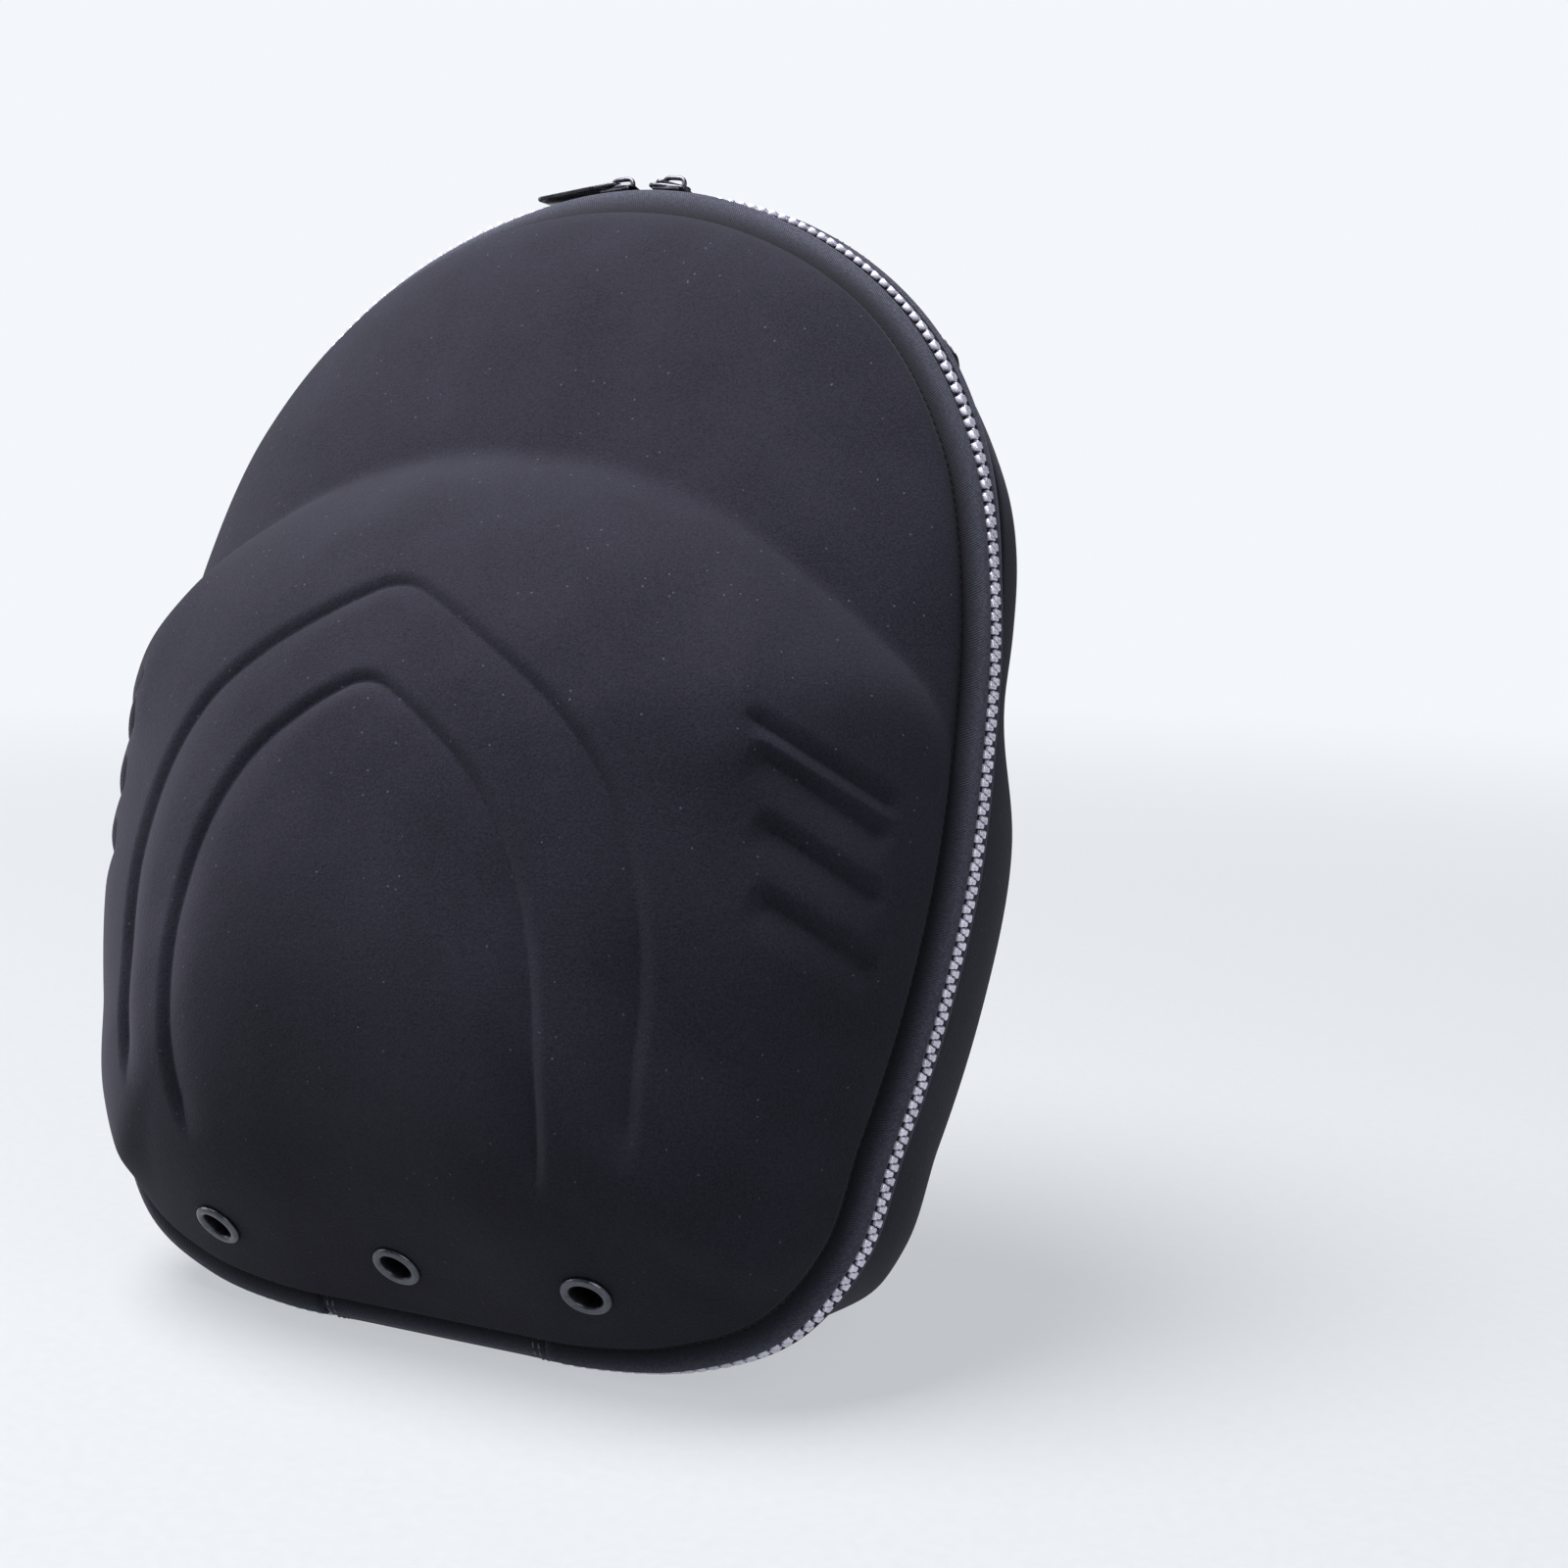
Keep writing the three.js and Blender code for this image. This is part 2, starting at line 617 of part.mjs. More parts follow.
// Local frame on the crest at a given x near the top: along the zipper, across it, outward.
function sliderFrame(x) {
  const angle = x > 0 ? angleAcross(x, 1) : 180 - angleAcross(-x, 1);
  const origin = bandPoint(angle, 0, 0);
  const normal = bandPoint(angle, 1, 0).sub(origin);
  const across = new THREE.Vector3(0, 1, 0);
  const along = across.clone().cross(normal);
  return new THREE.Matrix4().makeBasis(along, across, normal).setPosition(origin);
}

function block(size, centre) {
  return toManifold(new THREE.BoxGeometry(...size).translate(...centre));
}

// Slider body; inward is the direction along the zipper towards the other slider.
function sliderGeometry(frame, inward) {
  const plateTop = SLIDER_SEAT + SLIDER_PLATE;
  const upper = block(
    [SLIDER_LENGTH, SLIDER_WIDTH, SLIDER_PLATE], [0, 0, SLIDER_SEAT + SLIDER_PLATE / 2],
  );
  const lower = block(
    [SLIDER_LENGTH, SLIDER_LOWER_WIDTH, SLIDER_PLATE], [0, 0, SLIDER_LOWER_TOP - SLIDER_PLATE / 2],
  );
  const postX = inward * (SLIDER_LENGTH / 2 - SLIDER_POST_LENGTH / 2);
  const post = block(
    [SLIDER_POST_LENGTH, SLIDER_POST_WIDTH, plateTop - SLIDER_LOWER_TOP + SLIDER_PLATE / 2],
    [postX, 0, (plateTop + SLIDER_LOWER_TOP - SLIDER_PLATE / 2) / 2],
  );
  const bar = block([BAIL_LENGTH, BAIL_WIDTH, BAIL_BAR], [0, 0, BAIL_TOP - BAIL_BAR / 2]);
  const legHeight = BAIL_TOP - SLIDER_SEAT - SLIDER_PLATE / 2;
  const legX = BAIL_LENGTH / 2 - BAIL_POST / 2;
  const legs = [-1, 1].map((s) => block(
    [BAIL_POST, BAIL_WIDTH, legHeight], [s * legX, 0, BAIL_TOP - legHeight / 2],
  ));
  const solid = [lower, post, bar, ...legs].reduce((sum, part) => sum.add(part), upper);
  return fromManifold(solid).applyMatrix4(frame);
}

// Pull tab in its own frame: pivot wire along y at the origin, tab towards +x.
function pullBody() {
  const half = PULL_EYE_HALF_WIDTH;
  const outer = half + PULL_WIRE;
  const wire = new THREE.CylinderGeometry(PULL_WIRE / 2, PULL_WIRE / 2, 2 * half + PULL_WIRE, 10);
  const arms = [-1, 1].map((s) => block(
    [PULL_EYE_LENGTH + PULL_WIRE / 2, PULL_WIRE, PULL_WIRE],
    [PULL_EYE_LENGTH / 2, s * (half + PULL_WIRE / 2), 0],
  ));
  const neck = PULL_EYE_LENGTH;
  const end = PULL_LENGTH;
  const outline = [
    [neck, -outer], [end - PULL_CORNER, -PULL_END_WIDTH / 2], [end, -PULL_END_WIDTH / 2 + PULL_CORNER],
    [end, PULL_END_WIDTH / 2 - PULL_CORNER], [end - PULL_CORNER, PULL_END_WIDTH / 2], [neck, outer],
  ];
  const shape = new THREE.Shape(outline.map(([x, y]) => new THREE.Vector2(x, y)));
  const tab = new THREE.ExtrudeGeometry(shape, { depth: PULL_WIRE, bevelEnabled: false });
  tab.translate(0, 0, -PULL_WIRE / 2);
  return [...arms, toManifold(tab)].reduce((sum, part) => sum.add(part), toManifold(wire));
}

// Pull on its slider, swung round to a heading from the zipper line and drooping slightly.
function pullGeometry(frame, heading) {
  const pose = new THREE.Matrix4().makeTranslation(0, 0, PIVOT_HEIGHT)
    .multiply(new THREE.Matrix4().makeRotationZ(radians(heading)))
    .multiply(new THREE.Matrix4().makeRotationY(radians(PULL_DROOP)));
  return fromManifold(pullBody()).applyMatrix4(pose).applyMatrix4(frame);
}

// Share of the edge distance at which the brim part of the back shell reaches a depth.
function shareAtDepth(angle, depth) {
  let near = 1;
  let far = 0.5;
  for (let i = 0; i < 40; i += 1) {
    const middle = (near + far) / 2;
    if (backDepth(angle, middle) < depth) near = middle;
    else far = middle;
  }
  return near;
}

// Webbing handle: sewn down at both ends, arched clear of the shell between them.
function handleGeometry() {
  const reach = HANDLE_FREE_ANGLE + HANDLE_SEWN_ANGLE;
  const steps = 24;
  const columns = 5;
  const loops = [];
  for (let i = 0; i <= steps; i += 1) {
    const turn = reach * (1 - (2 * i) / steps);
    const angle = 90 - turn;
    const free = Math.max(1 - Math.pow(Math.abs(turn) / HANDLE_FREE_ANGLE, 4), 0);
    const lift = HANDLE_SEAT_GAP + HANDLE_LIFT * Math.pow(free, 0.8);
    const seats = Array.from({ length: columns }, (_, j) => {
      const depth = THREE.MathUtils.lerp(HANDLE_LOW, HANDLE_HIGH, j / (columns - 1));
      const share = shareAtDepth(angle, depth);
      return { at: shellPoint(1, angle, share), normal: shellNormal(1, angle, share) };
    });
    const middle = seats[(columns - 1) / 2];
    const flat = HANDLE_FLATTEN * free;
    const first = seats[0].at;
    const last = seats[columns - 1].at;
    const lower = [];
    const upper = [];
    seats.forEach(({ at, normal }, j) => {
      const face = normal.clone().lerp(middle.normal, flat).normalize();
      const chord = first.clone().lerp(last, j / (columns - 1));
      const shift = middle.at.clone().sub(first.clone().lerp(last, 0.5));
      const base = at.clone().lerp(chord.add(shift), flat);
      lower.push(base.clone().addScaledVector(face, lift));
      upper.push(base.clone().addScaledVector(face, lift + HANDLE_THICKNESS));
    });
    loops.push([...lower, ...upper.reverse()]);
  }
  return sweepLoops(loops, false);
}

// Angle at which the ridge and the lower back corner both touch the ground.
function restingLean(meshes) {
  const spots = [];
  for (const mesh of meshes) {
    const p = mesh.geometry.attributes.position;
    for (let i = 0; i < p.count; i += 1) spots.push([p.getY(i), p.getZ(i)]);
  }
  const ridge = spots.filter(([y]) => Math.abs(y) < RIDGE_HALF_WIDTH);
  const back = spots.filter(([y]) => y > 2 * RIDGE_HALF_WIDTH);
  const lowest = (list, a) => Math.min(...list.map(([y, z]) => z * Math.cos(a) - y * Math.sin(a)));
  let low = 0;
  let high = Math.PI / 4;
  for (let i = 0; i < 50; i += 1) {
    const middle = (low + high) / 2;
    if (lowest(back, middle) > lowest(ridge, middle)) low = middle;
    else high = middle;
  }
  return low;
}

const materials = {
  shell: new THREE.MeshStandardMaterial({
    name: 'shell_fabric', color: 0x37363f, roughness: 0.95, metalness: 0,
  }),
  tape: new THREE.MeshStandardMaterial({
    name: 'zipper_tape_fabric', color: 0x434753, roughness: 0.9, metalness: 0,
  }),
  chain: new THREE.MeshStandardMaterial({
    name: 'zipper_teeth_plastic', color: 0xb4b3c0, roughness: 0.35, metalness: 0.1,
  }),
  metal: new THREE.MeshStandardMaterial({
    name: 'slider_metal', color: 0x6f7075, roughness: 0.3, metalness: 1,
  }),
  eyelet: new THREE.MeshStandardMaterial({
    name: 'eyelet_metal', color: 0x4c4d54, roughness: 0.35, metalness: 1,
  }),
  webbing: new THREE.MeshStandardMaterial({
    name: 'handle_webbing', color: 0x17171b, roughness: 0.95, metalness: 0,
  }),
};

const eyeletPlaces = [-EYELET_SIDE_OFFSET, 0, EYELET_SIDE_OFFSET].map(eyeletPlace);
const hingeAngle = 90 + angleAcross(HINGE_LENGTH / 2, -1);
const tapeAngle = 90 + angleAcross(HINGE_LENGTH / 2 + CLEARANCE, -1);
const postEnd = SLIDER_OFFSET - SLIDER_LENGTH / 2 + SLIDER_POST_LENGTH;
const chainTop = angleAcross(postEnd + CLEARANCE, 1);
const rightFrame = sliderFrame(SLIDER_OFFSET);
const leftFrame = sliderFrame(-SLIDER_OFFSET);

const pieces = [
  ['front_shell', frontShell(eyeletPlaces), materials.shell],
  ['back_shell', shellGeometry(1, BACK_RINGS, BACK_WALL), materials.shell],
  ['zipper_tape_front', tapeGeometry(-1, -90 + tapeAngle, 270 - tapeAngle), materials.tape],
  ['zipper_tape_back', tapeGeometry(1, -90 + tapeAngle, 270 - tapeAngle), materials.tape],
  ['zipper_chain_right', chainGeometry(-90 + tapeAngle, chainTop), materials.chain],
  ['zipper_chain_left', chainGeometry(270 - tapeAngle, 180 - chainTop), materials.chain],
  ['hinge_cover', hingeGeometry(-90 - hingeAngle, -90 + hingeAngle), materials.tape],
  ['slider_left', sliderGeometry(leftFrame, 1), materials.metal],
  ['slider_right', sliderGeometry(rightFrame, -1), materials.metal],
  ['pull_left', pullGeometry(leftFrame, 180), materials.metal],
  ['pull_right', pullGeometry(rightFrame, PULL_RIGHT_HEADING), materials.metal],
  ['eyelet_left', eyeletGeometry(eyeletPlaces[0]), materials.eyelet],
  ['eyelet_centre', eyeletGeometry(eyeletPlaces[1]), materials.eyelet],
  ['eyelet_right', eyeletGeometry(eyeletPlaces[2]), materials.eyelet],
  ['carry_handle', handleGeometry(), materials.webbing],
];

const group = new THREE.Group();
group.name = 'cap_carrier_case';
for (const [name, geometry, material] of pieces) {
  const mesh = new THREE.Mesh(geometry, material);
  mesh.name = name;
  group.add(mesh);
}

// Lean the whole case back, centre it and stand it on the ground.
const lean = restingLean(group.children);
for (const mesh of group.children) mesh.geometry.rotateX(-lean);
const box = new THREE.Box3().setFromObject(group);
const middle = box.getCenter(new THREE.Vector3());
for (const mesh of group.children) {
  mesh.geometry.translate(-middle.x, -middle.y, -box.min.z);
  mesh.geometry.computeVertexNormals();
}

export default group;
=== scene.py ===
"""Looks of the moulded cap carrier case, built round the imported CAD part.

The shapes follow the part's own rules: an upright case in millimetres with the zipper in the
plane y = 0 and the front towards -y, which is then leaned back onto the ground.
"""
import json
import math

import bmesh
import bpy
import numpy as np
from mathutils import Matrix, Vector
from mathutils.kdtree import KDTree


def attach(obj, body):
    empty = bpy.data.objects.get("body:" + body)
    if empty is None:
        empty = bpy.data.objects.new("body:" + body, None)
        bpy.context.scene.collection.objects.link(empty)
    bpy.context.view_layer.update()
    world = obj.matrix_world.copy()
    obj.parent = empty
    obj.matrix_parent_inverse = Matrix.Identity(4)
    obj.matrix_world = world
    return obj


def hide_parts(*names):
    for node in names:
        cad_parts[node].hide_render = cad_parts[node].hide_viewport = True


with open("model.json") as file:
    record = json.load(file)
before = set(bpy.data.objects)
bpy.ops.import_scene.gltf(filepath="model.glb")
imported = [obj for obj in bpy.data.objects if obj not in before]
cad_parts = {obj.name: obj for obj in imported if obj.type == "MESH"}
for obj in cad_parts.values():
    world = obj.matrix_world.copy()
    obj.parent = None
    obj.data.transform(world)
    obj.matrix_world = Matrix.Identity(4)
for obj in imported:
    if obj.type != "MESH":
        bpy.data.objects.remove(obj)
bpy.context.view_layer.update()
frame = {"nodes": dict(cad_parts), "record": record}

# Overall sizes, in millimetres
CASE_HEIGHT = 294.4
CENTRE_HEIGHT = 125.0
FRONT_WALL = 4.0
BACK_WALL = 3.0

# Zipper ridge
RIDGE_HALF_WIDTH = 8.5
CHAIN_HALF_WIDTH = 2.7
TAPE_THICKNESS = 1.4
TAPE_BULGE = 1.05
TAPE_TOP_DROP = 0.3
TAPE_FLAT = 3.0
TAPE_FOOT = 8.2
TAPE_SHADE_FROM = 5.0
TAPE_LIP_DEPTH = 0.5
TAPE_LIP_WIDTH = 0.35
HINGE_LENGTH = 64.6
HINGE_THICKNESS = 1.8
HINGE_HUMP = 0.9
HINGE_HUMP_WIDTH = 2.4
HINGE_END_FALL = 0.5
HINGE_END_WIDTH = 0.8
CLEARANCE = 0.3
CREASE_DEPTH = 2.3
CREASE_SPREAD = 1.15
FOOT_SHADE_WIDTH = 4.0
SEAM_DROP = 1.5
SEAM_RADIUS = 0.6
SEAM_STITCH = 2.4
SEAM_NECK = 0.22
CORD_SECTION = [(-1.0, -3.4), (-0.8, 0.0), (-1.0, 3.4), (-2.0, 3.4), (-2.0, -3.4)]

# Teeth
TOOTH_PITCH = 3.28
TOOTH_HEIGHT = 1.5
TOOTH_OUTLINE = np.array([
    (-0.85, -2.5), (-0.98, -2.25), (-0.98, -1.5), (-0.7, -1.0), (-0.62, -0.3), (-0.72, 0.3),
    (-0.46, 0.8), (0, 0.92), (0.46, 0.8), (0.72, 0.3), (0.62, -0.3), (0.7, -1.0), (0.98, -1.5),
    (0.98, -2.25), (0.85, -2.5),
])

# Front shell
CROWN_DEPTH = 72.0
BRIM_DEPTH = 34.0
BROW_HEIGHT = 89.0
BROW_SPREAD = 0.27
BRIM_FULLNESS = 3.0
VALLEY_SHARPNESS = 8.0
VALLEY_SIDE_SHARPNESS = 2.7
FOOT_SHARPNESS = 20.0
UNDERSIDE_SLOPE = 1.34
UNDERSIDE_SHARPNESS = 10.0
UNDERSIDE_ANGLES = (38, 54)
CROWN_ROUNDNESS = 1.7
CROWN_TOP_ROUNDER = 0.7
CROWN_TOP_ANGLES = (10, 50)
CROWN_LOW_FLATTER = 0.2
CROWN_LOW_ANGLES = (15, 45)
BRIM_ROUNDNESS = 1.4
BRIM_TOP_ROUNDER = 0.6
BRIM_TOP_ANGLES = (55, 85)

# Back shell
BACK_CROWN_DEPTH = 57.0
BACK_BRIM_DEPTH = 38.0
BACK_STEP_LOW = 138.0
BACK_STEP_HIGH = 196.0
BACK_PANEL_DEPTH = 52.0
BACK_BOTTOM_SLOPE = 3.62
BACK_INSET = 4.0
BACK_SHOULDER_RISE = 3.6
RIDGE_TILT = 0.45
RIDGE_TILT_PIVOT = 2.7
BACK_WAIST_HEIGHT = 167.0
BACK_WAIST_SPREAD = 20.0
BACK_LOW_ANGLES = (34, 60)
BACK_FULLNESS = 6.4
BACK_ROUNDNESS = 2.7
BACK_PANEL_SHARPNESS = 40

# Eyelets
EYELET_HOLE_RADIUS = 4.0
EYELET_BARREL_RADIUS = 4.6
EYELET_FLANGE_RADIUS = 6.3
EYELET_SIDE_OFFSET = 52.6
EYELET_SHARE = 0.895
EYELET_SIDE_RISE = 1.7
EYELET_SEAT = 0.2
EYELET_DOME = 1.25
EYELET_BACK_GAP = 0.9
EYELET_BACK_EDGE = 0.4

# Sliders and pulls
SLIDER_OFFSET = 7.5
SLIDER_LENGTH = 10.6
SLIDER_WIDTH = 8.2
SLIDER_PLATE = 0.9
SLIDER_SEAT = 0.5
SLIDER_LOWER_TOP = -3.1
SLIDER_ROUNDING = 1.1
SLIDER_CORNERS = [(1, -0.95), (1, 0.95), (0.2, 1), (-1, 0.72), (-1, -0.72), (0.2, -1)]
POST_SETBACK = 0.7
POST_HALF_LENGTH = 0.7
POST_HALF_WIDTH = 1.2
FLANGE_DROP = 0.55
FLANGE_LIFT = 0.4
BAIL_LENGTH = 7.2
BAIL_WIDTH = 1.2
BAIL_TOP = 5.0
BAIL_THICKNESS = 1.05
PIVOT_HEIGHT = 2.6
PULL_WIRE = 1.0
PULL_EYE_HALF_WIDTH = 3.65
PULL_EYE_LENGTH = 5.2
PULL_LENGTH = 24.0
PULL_END_WIDTH = 7.4
PULL_ROUNDING = 1.5
PULL_BEVEL = 0.3
PULL_DROOP = 4.0
PULL_RIGHT_HEADING = 125.0
PULL_LEFT_ROLL = -13.0

# Carry handle
HANDLE_LOW = 12.0
HANDLE_HIGH = 27.0
HANDLE_THICKNESS = 2.4
HANDLE_LIFT = 4.6
HANDLE_FREE_ANGLE = 23.0
HANDLE_SEWN_ANGLE = 9.0
HANDLE_SEAT_GAP = 0.6
HANDLE_FLATTEN = 0.75
HANDLE_RIB_PITCH = 1.5
HANDLE_RIB_HEIGHT = 0.12
HANDLE_SELVEDGE_PITCH = 2.4
HANDLE_SELVEDGE_DEPTH = 0.35

# Stitches
STITCH_LENGTH = 1.7
STITCH_MARGIN = 1.5
HINGE_STITCH_PITCH = 2.3
HINGE_STITCH_ROWS = (1.5, 3.4)
HINGE_STITCH_WIDTH = 0.5
HANDLE_STITCH_PITCH = 2.2
HANDLE_STITCH_WIDTH = 0.55

# Crest of the zipper ridge: angle, reach as a share of the height, inset to the front shell edge
OUTLINE = np.array([
    (-90, 0.4246, 4.0), (-80, 0.4311, 4.0), (-70, 0.4509, 4.2), (-60, 0.4737, 4.6),
    (-50, 0.4875, 4.8), (-40, 0.4720, 5.0), (-30, 0.4372, 5.1), (-15, 0.4129, 5.2),
    (0, 0.4075, 5.3), (15, 0.4175, 4.8), (30, 0.4500, 4.6), (45, 0.4972, 4.86),
    (60, 0.5390, 5.89), (75, 0.5642, 7.95), (90, 0.5754, 9.51),
])

# Pressed lines on the right half of the front: across and up, as shares of the height
OUTER_ARCH = [
    (0, 0.5825), (0.04, 0.5625), (0.085, 0.536), (0.122, 0.513), (0.157, 0.487), (0.188, 0.455),
    (0.212, 0.418), (0.229, 0.376), (0.2395, 0.33), (0.243, 0.275), (0.2415, 0.22), (0.238, 0.155),
]
INNER_ARCH = [
    (0, 0.4995), (0.034, 0.4805), (0.066, 0.459), (0.096, 0.435), (0.121, 0.406), (0.142, 0.37),
    (0.158, 0.329), (0.168, 0.285), (0.1725, 0.235), (0.1725, 0.18), (0.165, 0.122),
]
SIDE_VENTS = [
    ((0.283, 0.506), (0.376, 0.458)), ((0.291, 0.48), (0.374, 0.434)),
    ((0.298, 0.43), (0.374, 0.387)), ((0.301, 0.376), (0.374, 0.337)),
]


def lean_and_offset():
    """Lean of the case, and where the upright case's origin lies before leaning."""
    mount = frame["record"]["mounts"][0]["axis"]
    lean = math.atan2(-mount[2], mount[1])
    shell = frame["nodes"]["front_shell"].data
    co = np.array([v.co for v in shell.vertices], float) * 1000
    y = co[:, 1] * math.cos(lean) - co[:, 2] * math.sin(lean)
    z = co[:, 1] * math.sin(lean) + co[:, 2] * math.cos(lean)
    return lean, y.max() + RIDGE_HALF_WIDTH, z.min()


def smoothstep(x, low, high):
    u = np.clip((x - low) / (high - low), 0, 1)
    return u * u * (3 - 2 * u)


def unit(vectors):
    return vectors / np.linalg.norm(vectors, axis=-1, keepdims=True)


def run_along(path):
    """Length run from a path's start to each of its points."""
    return np.concatenate([[0], np.cumsum(np.linalg.norm(np.diff(path, axis=0), axis=1))])


def grid_sample(grid, row, column):
    """Value between the places of a grid, at a row and a column that needn't be whole."""
    row = np.clip(row, 0, len(grid) - 1.001)
    column = np.clip(column, 0, grid.shape[1] - 1.001)
    i, j = row.astype(int), column.astype(int)
    u, v = row - i, column - j
    return (
        (1 - u) * ((1 - v) * grid[i, j] + v * grid[i, j + 1])
        + u * ((1 - v) * grid[i + 1, j] + v * grid[i + 1, j + 1])
    )


def outline_value(angle, column):
    """Catmull-Rom value of an outline column; the outline mirrors at top and bottom."""
    angle = np.asarray(angle, float)
    folded_angle = np.where(angle > 90, 180 - angle, np.where(angle < -90, -180 - angle, angle))
    rows = OUTLINE[:, [0, column]]
    before = np.stack([-180 - rows[1:3, 0], rows[1:3, 1]], 1)[::-1]
    after = np.stack([180 - rows[-3:-1, 0], rows[-3:-1, 1]], 1)[::-1]
    table = np.vstack([before, rows, after])
    k = np.clip(np.searchsorted(table[:, 0], folded_angle, side="left") - 1, 2, len(rows))
    a, b, c, d = (table[k + i] for i in (-1, 0, 1, 2))
    span = c[..., 0] - b[..., 0]
    u = (folded_angle - b[..., 0]) / span
    slope_b = (c[..., 1] - a[..., 1]) / (c[..., 0] - a[..., 0]) * span
    slope_c = (d[..., 1] - b[..., 1]) / (d[..., 0] - b[..., 0]) * span
    u2 = u * u
    u3 = u2 * u
    return (
        (2 * u3 - 3 * u2 + 1) * b[..., 1] + (u3 - 2 * u2 + u) * slope_b
        + (3 * u2 - 2 * u3) * c[..., 1] + (u3 - u2) * slope_c
    )


def crest_point(angle):
    """Crest in the zipper plane, as x and z on the last axis."""
    angle = np.asarray(angle, float)
    reach = CASE_HEIGHT * outline_value(angle, 1)
    turn = np.radians(angle)
    return np.stack([reach * np.cos(turn), CENTRE_HEIGHT + reach * np.sin(turn)], -1)


def crest_normal(angle):
    along = crest_point(np.asarray(angle) + 0.5) - crest_point(np.asarray(angle) - 0.5)
    out = np.stack([along[..., 1], -along[..., 0]], -1)
    return unit(out)


def shoulder(angle):
    """How far a place is within the two upper shoulders of the ridge, from 0 to 1."""
    return smoothstep(angle, 22, 44) * (1 - smoothstep(angle, 77, 90))


def ridge_tilt(angle):
    """Rise across the zipper towards the back, which turns the teeth to the front."""
    return RIDGE_TILT * smoothstep(angle, 30, 58) * (1 - smoothstep(angle, 74, 85))


def inset_at(side, angle):
    if side < 0:
        return outline_value(angle, 2)
    return BACK_INSET - BACK_SHOULDER_RISE * shoulder(np.asarray(angle, float))


def edge_point(side, angle):
    return crest_point(angle) - crest_normal(angle) * inset_at(side, angle)[..., None]


def folded(angle):
    wrapped = (np.asarray(angle, float) + 90) % 360 - 90
    return np.where(wrapped > 90, 180 - wrapped, wrapped)


def soft_max(a, b, sharpness):
    return (a ** sharpness + b ** sharpness) ** (1 / sharpness)


def soft_min(a, b, sharpness):
    tiny = 1e-6
    return 1 / soft_max(1 / np.maximum(a, tiny), 1 / np.maximum(b, tiny), sharpness)


def rounded_depth(share, fullness, roundness):
    return np.maximum(1 - np.minimum(share, 1) ** fullness, 0) ** (1 / roundness)


def reach_of(place):
    """Distance in the zipper plane from the middle of the outline."""
    return np.hypot(place[..., 0], place[..., 1] - CENTRE_HEIGHT)


def mirror_sign(angle):
    return np.where(np.cos(np.radians(angle)) < 0, -1, 1)


def front_depth(up, share, edge):
    """Larger of crown and brim, cut off by the slope of the underside."""
    edge_reach = reach_of(edge)
    reach = share * edge_reach
    sine = np.maximum(np.sin(np.arctan2(edge[..., 1] - CENTRE_HEIGHT, edge[..., 0])), 0.05)
    foot = soft_min(edge_reach, BROW_HEIGHT / sine ** BROW_SPREAD, FOOT_SHARPNESS)
    top = smoothstep(up, *CROWN_TOP_ANGLES)
    low = smoothstep(-up, *CROWN_LOW_ANGLES)
    crown_roundness = CROWN_ROUNDNESS + CROWN_TOP_ROUNDER * top - CROWN_LOW_FLATTER * low
    crown = CROWN_DEPTH * rounded_depth(reach / foot, 2 + 0.1 * top, crown_roundness)
    brim_roundness = BRIM_ROUNDNESS + BRIM_TOP_ROUNDER * smoothstep(up, *BRIM_TOP_ANGLES)
    brim = BRIM_DEPTH * rounded_depth(share, BRIM_FULLNESS, brim_roundness)
    soft = smoothstep(share, 0.4, 0.75) * smoothstep(up, -15, 12) * (1 - smoothstep(up, 60, 94))
    sharpness = VALLEY_SHARPNESS - (VALLEY_SHARPNESS - VALLEY_SIDE_SHARPNESS) * soft
    whole = soft_max(crown, brim, sharpness)
    slope = UNDERSIDE_SLOPE / np.maximum(smoothstep(-up, *UNDERSIDE_ANGLES), 0.02)
    return soft_min(whole, slope * (edge_reach - reach), UNDERSIDE_SHARPNESS)


def back_depth(up, share, edge):
    """Flat panel with a full lower part, a waist and a shallow top."""
    height = CENTRE_HEIGHT + share * (edge[..., 1] - CENTRE_HEIGHT)
    step = 1 - smoothstep(height, BACK_STEP_LOW, BACK_STEP_HIGH)
    full = BACK_BRIM_DEPTH + (BACK_CROWN_DEPTH - BACK_BRIM_DEPTH) * step
    low = smoothstep(-up, *BACK_LOW_ANGLES)
    waist = np.exp(-((height - BACK_WAIST_HEIGHT) / BACK_WAIST_SPREAD) ** 2)
    fullness = BACK_FULLNESS + 1.6 * low - 2.2 * waist
    body = full * rounded_depth(share, fullness, BACK_ROUNDNESS + 0.3 * low - 0.7 * waist)
    slope = BACK_BOTTOM_SLOPE / np.maximum(low, 0.02)
    walled = soft_min(body, slope * (1 - share) * reach_of(edge), UNDERSIDE_SHARPNESS)
    return soft_min(walled, np.full_like(walled, BACK_PANEL_DEPTH), BACK_PANEL_SHARPNESS)


def shell_point(side, angle, share):
    angle, share = np.broadcast_arrays(np.asarray(angle, float), np.asarray(share, float))
    up = folded(angle)
    edge = edge_point(side, up)
    depth = (front_depth if side < 0 else back_depth)(up, share, edge)
    return np.stack([
        mirror_sign(angle) * share * edge[..., 0],
        side * (RIDGE_HALF_WIDTH + depth),
        CENTRE_HEIGHT + share * (edge[..., 1] - CENTRE_HEIGHT),
    ], -1)


def shell_normal(side, angle, share):
    inner = np.maximum(share - 0.004, 0.01)
    outer = np.minimum(share + 0.004, 1)
    across = shell_point(side, angle + 1, share) - shell_point(side, angle - 1, share)
    out = shell_point(side, angle, outer) - shell_point(side, angle, inner)
    normal = np.cross(across, out) * side
    return normal / np.maximum(np.linalg.norm(normal, axis=-1, keepdims=True), 1e-9)


